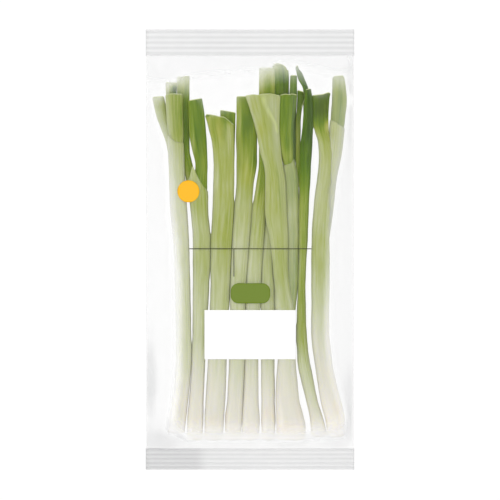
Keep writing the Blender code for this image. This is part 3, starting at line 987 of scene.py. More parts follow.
@dataclass
class Bunch:
    """The onions side by side, pressed together where they lie close."""

    onions: dict[int, tuple[Shoot, ...]]
    slots: dict[int, str]
    touch: float = 0.9
    overlap: float = 0.07
    step: float = 1.5
    closing: tuple[float, float] = (-92.0, -70.0)  # the heights between which the stems draw together

    def build(self, material: bpy.types.Material) -> list[bpy.types.Object]:
        """Models every onion.

        Args:
            material: The finish of their skins.

        Returns:
            The finished pieces, from left to right.
        """
        pieces = []
        for number, shoots in self.onions.items():
            stem = self._pressed(number)
            onion = Onion(number, (stem, *shoots[1:]), self.slots.get(number, "green_stem"))
            pieces.append(onion.build(material))
            LOG.info("%s: %d shoots, %d faces", pieces[-1].name, len(shoots), len(pieces[-1].data.polygons))
        return pieces

    def _pressed(self, number: int) -> Shoot:
        """Widens a stem to meet the neighbours that lie close beside it.

        Args:
            number: The onion's number.

        Returns:
            The stem with closer rows.
        """
        stem = self.onions[number][0]
        first, last = stem.rows[0][0], stem.rows[-1][0]
        heights = np.linspace(first, last, int((last - first) / self.step) + 1)
        boxes = stem.boxes(heights)
        wide = boxes.copy()
        for other, edge, way in ((number - 1, 0, -1), (number + 1, 1, 1)):
            if other not in self.onions:
                continue
            beside = self.onions[other][0]
            there = (heights > beside.rows[0][0]) & (heights < beside.rows[-1][0])
            gap = way * (beside.boxes(heights)[:, 1 - edge] - boxes[:, edge])
            close = ramp(gap, self.touch, self.touch * 0.7) * ramp(heights, *self.closing) * there * (gap > 0)
            wide[:, edge] += way * close * (gap / 2 + self.overlap)
        return replace(stem, rows=tuple(zip(heights, *wide.T)))


def stem_tone(*greens: tuple[float, float], root: float = 0.0, **rest: object) -> Tone:
    """A tone whose lowest stretch is much the same white on every stem.

    Args:
        greens: Height and how green, from the lowest place that differs up.
        root: How much greener than most its lowest stretch is.
        rest: Yellow, wax and its side.

    Returns:
        The tone.
    """
    lowest = ((-130.0, 0.05 + root), (-119.3, 0.1 + root), (-102.3, 0.17 + root))
    return Tone(greens=(*lowest, *greens), **rest)


ONIONS = {
    1: (
        Shoot(
            lower=LowerEnd.ROOTS, upper=UpperEnd.SHEATH_RIM, wall=0.4,
            top=((-55.9, 78.1), (-53.2, 75.1), (-50.1, 73.2), (-47.7, 72.6), (-45.3, 72.5)),
            tone=stem_tone(
                (-91.0, 0.25), (-81.9, 0.33), (-62.0, 0.4), (-34.3, 0.38), (0.0, 0.37), (20.1, 0.34),
                (47.3, 0.42), (72.0, 0.56), wax=0.3, waxy_side=Side.LEFT,
            ),
            rows=(
                (-124.8, -56.0, -44.5, 1.6, 11.6), (-115.9, -54.7, -43.5, 1.6, 11.9),
                (-102.3, -52.7, -42.0, 1.6, 11.9), (-88.7, -51.1, -40.6, 1.6, 11.7),
                (-74.5, -50.4, -39.9, 1.6, 11.6), (-27.5, -50.8, -40.6, 1.6, 11.6),
                (6.5, -52.2, -41.5, 1.6, 11.4), (27.5, -54.3, -42.7, 1.6, 11.2),
                (47.3, -55.0, -44.0, 1.6, 10.9), (60.9, -55.4, -44.6, 1.7, 10.7),
                (74.7, -55.9, -45.0, 1.8, 10.6),
            ),
        ),
        Shoot(
            tone=Tone(((54.0, 0.46), (80.0, 0.6), (97.0, 0.62), (104.0, 0.42)), yellow=0.05, wax=0.3),
            top=((-66.7, 102.8), (-65.3, 104.0), (-58.7, 104.4)),
            rows=(
                (54.1, -54.7, -48.3, 3.0, 7.0), (69.0, -56.4, -49.3, 2.8, 6.6),
                (78.5, -59.2, -51.3, 2.6, 6.2), (91.5, -63.9, -55.8, 2.4, 5.8),
                (103.7, -66.6, -58.6, 2.4, 5.6),
            ),
        ),
        Shoot(
            tone=Tone(((60.0, 0.6), (80.0, 0.64), (92.0, 0.68), (105.0, 0.67)), yellow=0.05, wax=0.15),
            patches=(
                Patch(-56.2, 92.0, 2.4, 14.0, green=-0.1, wax=0.1),
                Patch(-49.0, 80.0, 2.2, 6.0, green=0.06, yellow=0.2),
                Patch(-46.6, 92.0, 0.8, 12.0, green=0.1),
            ),
            inside=0,
            top=((-57.6, 104.9), (-56.8, 105.7), (-51.7, 106.0), (-45.9, 105.7)),
            folds=(
                Fold(((-53.6, 78.0), (-54.6, 106.0)), 0.35, 0.7),
                Fold(((-50.4, 74.0), (-51.2, 106.0)), -0.3, 0.8),
                Fold(((-47.9, 74.0), (-48.3, 106.0)), 0.3, 0.7),
            ),
            rows=(
                (55.4, -54.9, -45.0, 5.0, 10.4), (74.5, -55.8, -45.2, 6.2, 10.6),
                (92.8, -56.9, -45.7, 6.6, 10.4), (105.7, -57.5, -45.9, 6.8, 10.2),
            ),
        ),
        Shoot(
            tone=Tone(((55.0, 0.5), (100.0, 0.64), (106.0, 0.62), (113.0, 0.45)), wax=0.1),
            patches=(Patch(-51.3, 109.0, 2.2, 3.6, green=0.5),),
            rows=(
                (55.4, -54.6, -49.0, 2.1, 5.2), (88.1, -57.0, -50.4, 1.8, 4.9),
                (113.9, -57.5, -49.7, 1.8, 4.7),
            ),
        ),
    ),
    2: (
        Shoot(
            lower=LowerEnd.ROOTS, upper=UpperEnd.SHEATH_RIM, wall=0.4,
            top=((-43.2, 46.0), (-41.1, 49.0), (-39.2, 57.5), (-35.3, 49.0), (-31.8, 43.0), (-28.8, 40.0)),
            tone=stem_tone(
                (-81.9, 0.3), (-61.5, 0.45), (-34.3, 0.46), (-8.5, 0.56), (15.0, 0.52), (30.3, 0.6),
                (57.0, 0.57),
            ),
            rows=(
                (-129.5, -42.7, -32.6, 1.6, 11.2), (-115.9, -42.6, -31.8, 1.6, 11.6),
                (-102.3, -41.5, -31.6, 1.6, 11.3), (-88.7, -40.3, -31.0, 1.6, 10.8),
                (-74.5, -39.4, -30.4, 1.6, 10.8), (-27.5, -38.9, -27.9, 1.6, 11.6),
                (6.5, -38.9, -26.9, 1.6, 11.6), (27.5, -40.6, -28.4, 1.6, 11.4),
                (40.5, -42.4, -28.5, 1.6, 11.0), (44.5, -43.6, -28.5, 1.6, 11.0),
                (48.0, -43.9, -28.6, 1.7, 10.9),
            ),
        ),
        Shoot(
            tone=Tone(
                ((45.0, 0.66), (60.0, 0.78), (80.0, 0.86), (100.0, 0.84), (107.0, 0.76), (118.0, 0.55)),
                yellow=0.1,
            ),
            inside=0,
            top=((-50.1, 117.4), (-41.1, 118.5)),
            rows=(
                (36.0, -42.0, -35.0, 3.0, 9.0), (45.0, -43.4, -36.0, 2.8, 8.2),
                (48.6, -43.9, -36.6, 2.6, 7.6), (60.9, -45.2, -39.9, 2.2, 6.4),
                (67.7, -45.8, -41.0, 1.9, 5.6), (79.2, -47.1, -41.2, 1.8, 5.2),
                (90.0, -48.4, -40.9, 1.8, 5.0), (101.7, -49.6, -41.2, 1.8, 4.9),
                (118.0, -49.9, -41.1, 1.8, 4.8),
            ),
        ),
        Shoot(
            tone=Tone(((40.0, 0.79), (57.5, 0.84), (80.0, 0.84), (103.0, 0.84)), yellow=0.08),
            patches=(
                Patch(-38.6, 69.5, 1.1, 7.0, green=-0.06, wax=0.3),
                Patch(-31.5, 56.0, 1.6, 11.0, green=-0.08, yellow=0.25),
            ),
            inside=0,
            top=((-42.1, 101.3), (-32.6, 103.0)),
            rows=(
                (34.0, -39.0, -29.0, 4.0, 10.6), (47.3, -38.4, -29.0, 5.4, 10.6),
                (56.8, -37.1, -28.8, 6.0, 10.5), (68.3, -39.4, -29.2, 6.1, 10.3),
                (79.2, -41.2, -29.9, 6.2, 10.2), (92.8, -41.8, -31.0, 6.3, 10.1),
                (102.7, -42.0, -32.6, 6.4, 10.0),
            ),
        ),
    ),
    3: (
        Shoot(
            lower=LowerEnd.ROOTS,
            tone=stem_tone(
                (-81.9, 0.3), (-34.3, 0.53), (-20.0, 0.52), (-8.5, 0.57), (6.5, 0.62), (32.0, 0.62),
                (44.0, 0.58), (57.5, 0.64), (74.5, 0.7), (91.0, 0.71), root=0.05, yellow=0.2,
            ),
            top=(
                (-30.6, 91.0), (-29.3, 92.1), (-27.2, 91.9), (-23.6, 91.3), (-21.0, 90.5), (-17.3, 90.2),
                (-10.9, 84.7),
            ),
            top_reach=16.0,
            folds=(
                Fold(((-21.5, 92.0), (-21.4, 85.5)), -0.35, 0.5),
                Fold(((-20.4, 91.0), (-18.5, 70.0), (-18.0, 45.0)), 0.3, 1.2),
            ),
            patches=(
                Patch(-21.0, 82.5, 1.7, 6.5, green=-0.04, yellow=0.7, dry=0.12),
                Patch(-14.4, 75.0, 3.2, 12.0, green=-0.12, wax=0.3),
                Patch(-25.0, 84.0, 2.6, 8.0, green=0.03, yellow=0.3),
                # Painted shade: a dark line down the crease beside it.
                Patch(-21.4, 87.8, 0.5, 2.3, green=0.3),
                Patch(-28.6, 91.6, 1.2, 1.0, green=0.5),
                # Painted shadow: a soft darker band near the upper end, where the leaf behind it meets it.
                Patch(-14.0, 89.0, 5.0, 3.4, green=0.16),
            ),
            rows=(
                (-129.5, -30.7, -18.6, 1.6, 12.2), (-115.9, -30.9, -17.7, 1.6, 12.6),
                (-102.3, -30.1, -16.9, 1.6, 12.6), (-88.7, -29.2, -16.3, 1.6, 12.4),
                (-74.5, -28.6, -15.8, 1.6, 12.3), (-27.5, -26.9, -13.9, 1.6, 12.2),
                (6.5, -26.4, -12.5, 1.6, 12.0), (27.5, -25.6, -11.0, 1.6, 11.6),
                (41.8, -25.0, -10.8, 2.4, 11.1), (55.4, -24.6, -10.7, 4.8, 10.6),
                (71.1, -25.7, -10.6, 5.2, 10.0), (84.7, -28.9, -10.8, 5.6, 9.8),
                (91.1, -30.5, -10.8, 5.8, 9.6),
            ),
        ),
        Shoot(
            tone=Tone(((36.0, 0.62), (70.0, 0.7), (94.0, 0.82)), yellow=0.12),
            top=((-20.3, 95.2), (-9.8, 93.4)),
            rows=(
                (36.4, -19.0, -11.4, 2.2, 7.0), (60.9, -20.0, -10.6, 1.8, 4.6),
                (94.2, -20.3, -9.9, 1.8, 4.6),
            ),
        ),
    ),
    4: (
        Shoot(
            lower=LowerEnd.ROOTS,
            tone=stem_tone(
                (-81.9, 0.35), (-34.3, 0.44), (-18.0, 0.48), (-8.5, 0.46), (6.5, 0.49), (23.0, 0.55),
                (30.3, 0.56), (57.5, 0.72), (80.0, 0.79), (104.0, 0.8), root=0.03, yellow=0.15,
            ),
            patches=(
                Patch(-7.2, 90.0, 1.8, 16.0, green=-0.04, wax=0.1),
                Patch(-1.5, 86.0, 3.0, 12.0, green=0.08),
                Patch(-2.0, 54.0, 4.0, 9.0, green=-0.04, yellow=0.35),
                Patch(3.4, 60.0, 1.4, 9.0, green=0.14),
            ),
            rows=(
                (-129.5, -16.7, -6.2, 1.6, 11.4), (-115.9, -16.9, -5.4, 1.6, 12.0),
                (-102.3, -15.5, -4.7, 1.6, 11.8), (-74.5, -14.3, -3.5, 1.6, 11.6),
                (-27.5, -13.3, -3.0, 1.6, 11.4), (6.5, -11.8, -0.4, 1.6, 10.8),
                (27.5, -10.6, 1.1, 1.6, 9.6), (43.9, -9.4, 2.5, 1.6, 8.2), (60.9, -9.2, 4.8, 1.7, 6.6),
                (75.0, -9.5, 4.8, 1.7, 6.1), (88.1, -9.3, 4.8, 1.8, 5.8), (104.4, -9.2, 4.6, 1.8, 5.4),
            ),
        ),
    ),
    5: (
        Shoot(
            lower=LowerEnd.ROOTS,
            tone=stem_tone(
                (-81.9, 0.3), (-34.3, 0.44), (-8.5, 0.5), (15.0, 0.6), (30.3, 0.64), (45.0, 0.73),
                (57.5, 0.8), (100.0, 0.76), (110.0, 0.7), (123.0, 0.5), root=0.03, yellow=0.15,
            ),
            patches=(
                Patch(11.6, 110.0, 0.9, 9.0, green=0.05),
                Patch(8.0, 112.0, 1.5, 8.0, green=-0.05, yellow=0.2),
            ),
            rows=(
                (-129.5, -5.2, 5.8, 1.6, 11.4), (-115.9, -5.4, 6.6, 1.6, 12.0),
                (-102.3, -4.7, 5.8, 1.6, 11.4), (-74.5, -3.5, 5.6, 1.6, 10.6),
                (-27.5, -2.3, 7.4, 1.6, 10.6), (6.5, -0.3, 9.2, 1.6, 9.6), (27.5, 1.6, 10.8, 1.6, 8.0),
                (43.9, 4.2, 12.1, 1.6, 6.7), (59.5, 6.1, 13.5, 1.7, 5.8), (81.3, 6.2, 15.7, 1.8, 5.2),
                (105.7, 6.1, 17.0, 1.8, 5.0), (123.8, 6.2, 17.1, 1.8, 4.8),
            ),
        ),
    ),
    6: (
        Shoot(
            lower=LowerEnd.ROOTS,
            tone=stem_tone(
                (-91.0, 0.29), (-81.9, 0.33), (-34.3, 0.48), (-18.0, 0.53), (6.5, 0.53), (60.0, 0.8),
                (105.0, 0.95), (116.0, 0.92), (126.0, 0.66), yellow=0.12, wax=0.05,
            ),
            top=((15.2, 125.0), (16.6, 126.4), (19.2, 127.0), (22.3, 126.0), (24.2, 124.6), (25.4, 122.6)),
            top_reach=5.0,
            rows=(
                (-129.5, 8.0, 16.7, 1.6, 10.4), (-115.9, 7.6, 17.3, 1.6, 10.8),
                (-102.3, 7.8, 16.7, 1.6, 10.6), (-74.5, 7.4, 16.7, 1.6, 10.4),
                (-27.5, 7.6, 16.7, 1.6, 10.0), (-10.5, 8.2, 15.4, 1.6, 8.4), (6.5, 9.6, 17.6, 1.6, 6.5),
                (27.5, 11.2, 20.1, 1.6, 6.1), (54.1, 13.8, 21.4, 1.7, 5.7), (81.3, 16.3, 24.5, 1.8, 5.2),
                (105.7, 17.0, 26.6, 1.8, 5.0), (115.0, 16.8, 26.6, 1.8, 4.9), (122.6, 16.0, 26.0, 1.8, 4.9),
                (126.5, 14.8, 25.4, 1.9, 4.7),
            ),
        ),
    ),
    7: (
        Shoot(
            lower=LowerEnd.ROOTS,
            tone=stem_tone(
                (-81.9, 0.26), (-34.3, 0.52), (-18.0, 0.6), (-8.5, 0.62), (6.5, 0.6), (30.3, 0.63),
                (60.0, 0.61), (80.0, 0.61), (105.0, 0.59), yellow=0.2, wax=0.3, waxy_side=Side.RIGHT,
            ),
            patches=(
                Patch(6.8, 82.5, 2.4, 7.0, green=0.04, yellow=0.25),
                Patch(2.0, 97.0, 3.0, 7.0, green=0.05, yellow=0.15),
                Patch(14.0, 98.0, 4.0, 8.0, green=-0.05, wax=0.3),
                # Painted sheen: a grey band down the right of the big leaf.
                Patch(17.5, 74.0, 2.0, 16.0, green=-0.04, wax=0.35),
            ),
            top=(
                (-3.3, 104.7), (2.4, 105.5), (5.8, 105.0), (7.3, 105.8), (14.0, 106.0), (18.0, 105.2),
                (20.5, 104.5),
            ),
            folds=(
                Fold(
                    ((7.3, 106.5), (10.5, 98.0), (14.0, 91.5), (17.4, 86.0), (18.4, 80.0)),
                    0.5,
                    1.0,
                    0.45,
                ),
                Fold(((13.0, 99.0), (15.6, 94.0), (18.8, 86.0)), -0.25, 0.6),
                Fold(((2.0, 92.0), (8.0, 60.0), (12.0, 30.0)), 0.25, 1.6),
            ),
            rows=(
                (-129.5, 18.8, 37.1, 1.6, 14.2), (-120.7, 17.9, 37.9, 1.6, 14.6),
                (-111.9, 17.8, 36.1, 1.6, 14.4), (-102.3, 17.4, 33.5, 1.6, 14.0),
                (-88.7, 17.9, 32.1, 1.6, 13.4), (-74.5, 18.8, 31.0, 1.6, 13.2),
                (-54.7, 18.0, 31.0, 1.6, 13.2), (-41.0, 17.4, 30.0, 2.2, 13.0),
                (-27.5, 17.0, 27.6, 4.4, 12.8), (-10.5, 15.5, 25.8, 5.8, 12.8),
                (6.5, 13.4, 25.9, 6.9, 12.8), (27.5, 10.1, 25.0, 7.1, 12.8), (47.3, 10.4, 23.9, 7.1, 12.3),
                (55.4, 9.8, 22.6, 7.0, 11.9), (64.9, 7.2, 21.3, 6.8, 11.4), (83.3, 3.4, 20.0, 6.5, 10.8),
                (94.9, 0.0, 20.2, 6.3, 10.5), (104.9, -3.2, 20.6, 6.3, 10.2),
            ),
        ),
        Shoot(
            upper=UpperEnd.SHEATH_RIM, wall=0.4,
            # Its heavy share of grey waxy bloom also paints the shade of the shoots beside it.
            tone=Tone(
                (
                    (-50.0, 0.55), (-30.0, 0.7), (-8.0, 0.69), (24.0, 0.58), (38.0, 0.7), (48.0, 0.72),
                    (58.0, 0.68),
                ),
                wax=0.75,
            ),
            top=((23.9, 57.5), (26.5, 58.1), (27.8, 58.4), (29.6, 61.3)),
            rows=(
                (-50.0, 24.5, 30.4, 2.4, 10.6), (-40.0, 25.2, 31.0, 2.0, 10.6),
                (-27.5, 25.2, 32.4, 1.9, 10.4), (-19.4, 24.6, 33.0, 1.7, 10.3),
                (6.5, 24.3, 33.1, 1.7, 10.3), (27.5, 23.6, 33.3, 1.7, 10.3), (37.1, 23.0, 33.3, 1.7, 10.3),
                (47.3, 22.6, 33.0, 1.8, 10.3), (54.0, 22.2, 31.9, 1.8, 10.3), (61.0, 22.0, 30.4, 1.8, 10.3),
            ),
        ),
        Shoot(
            tone=Tone(
                ((45.0, 0.74), (62.0, 0.76), (90.0, 0.8), (105.0, 0.82)), wax=0.16, waxy_side=Side.RIGHT,
            ),
            inside=1,
            patches=(
                Patch(29.6, 88.0, 1.3, 26.0, green=0.12, wax=0.12),
                Patch(26.0, 64.0, 3.0, 5.0, green=-0.1),
                Patch(21.5, 98.0, 2.5, 14.0, green=0.08),
            ),
            top=((21.0, 105.2), (24.0, 105.9), (26.5, 105.4), (28.5, 106.0), (32.0, 105.3)),
            folds=(Fold(((25.0, 106.0), (25.6, 62.0)), 0.25, 1.0),),
            rows=(
                (45.9, 23.4, 30.6, 5.0, 10.0), (56.0, 22.4, 30.0, 5.4, 10.0), (62.2, 20.8, 29.5, 5.4, 9.9),
                (76.5, 19.6, 29.5, 5.4, 9.9), (94.9, 19.6, 31.0, 5.6, 9.9), (105.5, 20.3, 32.1, 6.0, 9.8),
            ),
        ),
        Shoot(
            wall=0.55,
            tone=Tone(((45.0, 0.76), (90.0, 0.9), (118.0, 0.84)), yellow=0.0, wax=0.25),
            rows=(
                (45.9, 25.5, 30.4, 2.2, 5.6), (67.7, 25.8, 31.3, 1.9, 5.2), (88.1, 26.2, 31.5, 1.8, 5.0),
                (108.5, 27.0, 32.0, 1.8, 4.9), (118.7, 27.5, 32.0, 1.9, 4.7),
            ),
        ),
    ),
    8: (
        Shoot(
            lower=LowerEnd.ROOTS,
            tone=Tone(
                (
                    (-130.0, 0.06), (-119.3, 0.14), (-110.0, 0.26), (-101.0, 0.36), (-91.0, 0.42),
                    (-81.9, 0.45), (-61.5, 0.59), (-34.3, 0.67), (-8.5, 0.64), (15.0, 0.7), (34.0, 0.72),
                    (57.5, 0.92), (74.5, 1.0), (109.0, 0.96),
                ),
                yellow=0.05, wax=0.08, waxy_side=Side.RIGHT,
            ),
            top=((37.7, 108.9), (41.1, 109.5)),
            rows=(
                (-127.2, 42.1, 52.3, 1.6, 10.6), (-115.9, 40.8, 50.1, 1.6, 10.8),
                (-102.3, 38.0, 45.9, 1.6, 9.8), (-88.7, 34.6, 43.2, 1.6, 10.0),
                (-74.5, 32.2, 40.3, 1.6, 10.0), (-54.7, 31.6, 38.5, 1.6, 9.4),
                (-27.5, 32.5, 37.7, 1.6, 8.9), (6.5, 33.1, 39.2, 1.6, 9.4), (27.5, 33.1, 40.0, 1.6, 9.8),
                (47.3, 33.5, 41.1, 1.7, 9.9), (57.5, 33.7, 41.5, 3.0, 10.0), (73.1, 34.4, 42.4, 5.6, 10.1),
                (82.6, 35.5, 42.9, 6.2, 10.1), (93.5, 36.4, 42.7, 6.8, 10.1),
                (103.0, 37.1, 42.1, 7.0, 10.1), (109.1, 37.9, 41.2, 7.1, 10.0),
            ),
        ),
        Shoot(
            wall=0.55,
            tone=Tone(((40.0, 0.8), (90.0, 0.92), (108.0, 0.96)), yellow=0.1, wax=0.03),
            patches=(
                Patch(32.2, 78.0, 2.2, 15.0, green=-0.1, dry=0.22),
                Patch(34.0, 62.0, 1.5, 9.0, green=-0.1, dry=0.12),
            ),
            top=((32.3, 108.6), (36.5, 107.4)),
            folds=(
                Fold(
                    ((36.6, 107.0), (37.6, 105.0), (37.4, 102.5), (36.4, 99.5), (34.8, 96.5)),
                    0.3,
                    0.35,
                    0.6,
                ),
            ),
            rows=(
                (40.5, 34.2, 38.1, 3.6, 8.0), (48.6, 31.5, 36.0, 3.9, 7.2), (67.7, 31.1, 34.5, 4.1, 6.8),
                (86.7, 31.2, 34.4, 4.1, 6.7), (96.2, 31.9, 35.5, 4.1, 6.7), (103.7, 32.2, 37.6, 4.1, 6.7),
                (108.5, 32.3, 36.6, 4.1, 6.6),
            ),
        ),
        Shoot(
            wall=0.55,
            tone=Tone(((40.0, 0.85), (90.0, 0.98), (124.0, 0.9)), yellow=0.0, wax=0.08),
            top=((30.8, 124.2), (32.3, 125.7), (33.5, 122.8)),
            top_reach=5.0,
            rows=(
                (40.5, 35.5, 39.5, 2.2, 5.4), (67.7, 35.8, 40.1, 1.7, 4.0), (93.5, 36.4, 40.8, 1.7, 3.8),
                (108.5, 36.2, 40.0, 1.7, 3.8), (116.6, 32.6, 37.0, 1.7, 3.8), (124.8, 30.8, 33.6, 1.7, 3.7),
            ),
        ),
    ),
    9: (
        Shoot(
            lower=LowerEnd.ROOTS,
            tone=stem_tone(
                (-81.9, 0.24), (-61.5, 0.29), (-34.3, 0.48), (-8.5, 0.62), (6.5, 0.61), (20.0, 0.54),
                (34.0, 0.5), (57.5, 0.54), (72.0, 0.59), (78.0, 0.66), (85.0, 0.82), (93.0, 0.96),
                (106.0, 0.96), root=-0.07, yellow=0.15,
            ),
            patches=(
                Patch(52.2, 84.0, 1.6, 4.0, green=-0.25, yellow=0.35, dry=0.12),
                Patch(54.0, -50.0, 3.2, 30.0, green=-0.16),
                Patch(48.8, -68.0, 4.5, 26.0, wax=0.2),
                Patch(44.2, 92.0, 1.5, 9.0, green=0.08),
            ),
            top=((42.3, 104.9), (49.6, 105.7), (53.0, 106.9), (55.7, 106.4)),
            rows=(
                (-127.2, 52.6, 64.3, 1.6, 12.2), (-115.9, 51.3, 64.4, 1.6, 12.8),
                (-102.3, 47.8, 61.7, 1.6, 12.8), (-88.7, 45.6, 58.3, 1.6, 12.2),
                (-74.5, 43.5, 55.7, 1.6, 12.0), (-54.7, 41.6, 53.8, 1.6, 12.0),
                (-27.5, 41.7, 54.1, 1.6, 12.0), (6.5, 41.8, 54.1, 1.6, 11.8), (27.5, 43.2, 56.0, 1.6, 11.4),
                (47.3, 45.4, 57.6, 1.6, 10.9), (62.0, 46.8, 57.4, 2.4, 10.6), (73.0, 46.2, 55.0, 4.0, 10.3),
                (80.0, 44.3, 53.4, 5.0, 10.2), (87.4, 42.8, 53.3, 5.4, 10.0), (101.7, 42.4, 54.0, 5.6, 9.8),
                (106.0, 42.2, 54.9, 5.7, 9.7),
            ),
        ),
        Shoot(
            upper=UpperEnd.SHEATH_RIM, wall=0.4,
            tone=Tone(
                ((0.0, 0.46), (30.0, 0.42), (60.0, 0.42), (86.0, 0.5)), wax=0.45, waxy_side=Side.RIGHT,
            ),
            patches=(
                Patch(56.0, 80.0, 1.8, 7.0, green=0.06, yellow=0.25),
                Patch(50.5, 45.0, 2.4, 30.0, green=0.12, yellow=0.1),
            ),
            top=((54.6, 88.2), (58.1, 86.9), (60.2, 85.1), (64.3, 82.5)),
            rows=(
                (2.0, 47.0, 53.2, 3.0, 10.6), (14.0, 47.4, 54.9, 2.4, 10.9), (27.5, 48.4, 56.7, 1.9, 11.0),
                (47.3, 50.4, 59.0, 1.8, 10.7), (67.7, 52.6, 62.8, 1.9, 10.3), (85.0, 54.4, 64.5, 2.2, 9.9),
            ),
        ),
        Shoot(
            tone=Tone(((66.0, 0.62), (90.0, 0.72), (104.0, 0.68), (118.0, 0.62)), yellow=0.0, wax=0.55),
            inside=1,
            top=((55.7, 117.0), (57.8, 118.1), (63.2, 118.5), (65.1, 115.9)),
            top_reach=8.0,
            rows=(
                (66.4, 53.4, 62.6, 2.6, 9.6), (80.0, 54.4, 63.8, 2.8, 9.2), (89.8, 55.0, 64.7, 3.0, 8.6),
                (101.9, 55.8, 65.9, 3.3, 8.0), (111.2, 55.9, 65.3, 3.4, 7.6), (118.0, 56.0, 64.4, 3.5, 7.2),
            ),
        ),
    ),
}
SLOTS = {1: "pale_stem", 8: "dark_stem"}
PROBE_HEIGHT = 0.05  # in metres, above every onion
PROBES = (-0.45, 0.0, 0.45)  # where round a point of the front the onions under it are felt
SEAL_COLUMNS = 70
RIB_STEPS = 10


@dataclass(frozen=True)
class Shadow(Spot):
    """A painted shadow of a fold in the film: a soft grey spot on its empty margins."""

    grey: float = 0.0


@dataclass
class FilmPacket:
    """The clear film: one sheet round the onions, lapped along the back and crimped shut at both ends."""

    length: float = 300.0
    width: float = 142.0
    wall: float = 0.1
    lap: float = 12.0
    lap_rise: float = 2.5
    lap_gap: float = 0.05
    top_seal: float = 18.2
    bottom_seal: float = 14.7
    seal_height: float = 2.2
    seal_droop: float = 1.1
    seal_wall: float = 0.15
    ribs: int = 5
    rib_height: float = 0.32
    rib_waver: tuple[float, float] = (0.15, 0.07)  # its size and its rate across, as for the next two
    droop_waver: tuple[float, float] = (0.25, 0.055)
    edge_waver: tuple[float, float] = (0.1, 0.6)
    mouth: float = 0.3
    fold_inset: float = 0.9
    fold_bulge: float = 0.55
    side_slack: float = 0.3
    back_lift: float = 9.0
    columns_pitch: float = 1.3
    rows_pitch: float = 1.5
    tuck: float = 1.0  # how far the tube runs on into each seal
    rest: float = 0.12
    cling: float = 0.06
    rounds: int = 700
    easings: int = 8
    pull_across: float = 0.62
    # The puckers of each seal: their way into the packet, number, reach and share of the full height.
    puckers: tuple[tuple[int, int, float, float], ...] = ((1, 26, 15.0, 0.5), (-1, 20, 20.0, 1.0))
    pucker_spread: float = 66.0
    pucker_lean: float = 0.35
    pucker_widths: tuple[float, float] = (1.6, 3.0)
    pucker_heights: tuple[float, float] = (0.08, 0.3)
    # How milky and how grey the parts of the film are, as shares.
    clear: float = 0.012
    back_haze: float = 0.015
    fold_haze: float = 0.16
    # Painted shade on the side folds of the film.
    fold_painted_shade: float = 0.3
    seal_haze: float = 0.62
    seal_grey: float = 0.6
    # Painted shade: how much greyer the seal is in the grooves between its ribs than on them.
    rib_groove_shade: float = 0.11
    corner_grey: float = 0.27
    corner: tuple[float, float] = (-28.0, -38.0)  # where across the lower left corner greys
    margin_haze: float = 0.32
    margin_grey: float = 0.48
    steep_clearing: float = 0.25
    steep: tuple[float, float] = (0.3, 1.2)  # the slopes between which the margin clears
    shadow_haze: float = 0.15
    tip_gain: float = 0.57
    tip_power: float = 1.2
    tip_grey: float = 0.2
    root_grey: float = 0.25
    root_zone: float = -115.0  # an onion that reaches below this height ends in its roots there
    root_sides: tuple[float, float] = (3.0, -1.0)  # how far beside the bunch their haze ends and is full
    most_hidden: float = 0.96
    # Where across, and between which heights, the haze over the leaf ends sets in.
    tip_fades: tuple[tuple[float, float, float], ...] = (
        (-70.0, 104.0, 118.0), (-58.0, 107.0, 116.0), (-50.0, 104.0, 116.0), (-44.0, 102.0, 120.0),
        (8.0, 107.0, 125.0), (20.0, 112.5, 130.0), (30.0, 112.0, 130.0), (56.0, 107.0, 123.0),
    )
    # How far above the root ends, and how milky.
    root_haze: Line = (
        (-3.0, 0.25), (-1.0, 0.45), (0.3, 0.66), (1.8, 0.7), (3.8, 0.56), (6.5, 0.4), (8.5, 0.27),
        (10.5, 0.14), (13.0, 0.04), (15.0, 0.0),
    )
    # The bends over the outermost onions, whose haze paints the film's glancing reflection: their side, haze
    # and width, and the heights between which it grows.
    flanks: tuple[tuple[int, float, float, tuple[float, float]], ...] = (
        (-1, 0.66, 7.0, (60.0, -20.0)), (1, 0.36, 6.5, (70.0, -50.0)),
    )
    # Painted fold shadows on the empty margins.
    shadows: tuple[Shadow, ...] = (
        Shadow(-68.0, -88.0, 4.0, 22.0, 0.95),
        Shadow(-62.0, -131.0, 15.0, 8.0, 0.85),
        Shadow(68.0, -93.0, 4.5, 17.0, 0.42),
        Shadow(70.0, 112.0, 4.0, 26.0, 0.2),
        Shadow(60.0, -132.0, 9.0, 5.0, 0.35),
    )
    random: np.random.Generator = field(init=False)
    bottom: float = field(init=False)
    top: float = field(init=False)
    columns: np.ndarray = field(init=False)
    rows: np.ndarray = field(init=False)
    heights: np.ndarray = field(init=False)
    under: np.ndarray = field(init=False)
    veils: np.ndarray = field(init=False)
    shades: np.ndarray = field(init=False)

    def __post_init__(self) -> None:
        """Starts its own run of random draws and lays out the front's points."""
        self.random = np.random.default_rng(41)
        edge = self.width / 2 - self.fold_inset
        self.columns = np.linspace(-edge, edge, int(2 * edge / self.columns_pitch) + 1)
        self.bottom = -self.length / 2 + self.bottom_seal
        self.top = self.length / 2 - self.top_seal
        count = int((self.top - self.bottom) / self.rows_pitch)
        inner = np.linspace(self.bottom, self.top, count + 1)
        self.rows = np.concatenate([[self.bottom - self.tuck], inner, [self.top + self.tuck]])

    def build(self, onions: list[bpy.types.Object], material: bpy.types.Material) -> bpy.types.Object:
        """Models the packet over the onions.

        Args:
            onions: The onions that it holds.
            material: The film's finish.

        Returns:
            The finished piece, which replaces the packet's solid.
        """
        self._drape(onions)
        bm = bmesh.new()
        for name in ("veil", "shade"):
            bm.verts.layers.float.new(name)
        self._tube(bm)
        self._seal(bm, 1, self.top_seal)
        self._seal(bm, -1, self.bottom_seal)
        piece = finished("packet_film", bm, material)
        piece.visible_shadow = False
        piece.visible_diffuse = False
        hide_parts("film_packet")
        return piece

    def _backs(self, y: np.ndarray) -> np.ndarray:
        """The height of the back, flat on the table and lifted to the seals at its ends."""
        lift = ramp(np.minimum(y - self.bottom, self.top - y), self.back_lift, 0.0)
        return self.rest + (self.seal_height - self.mouth / 2 - self.rest) * lift

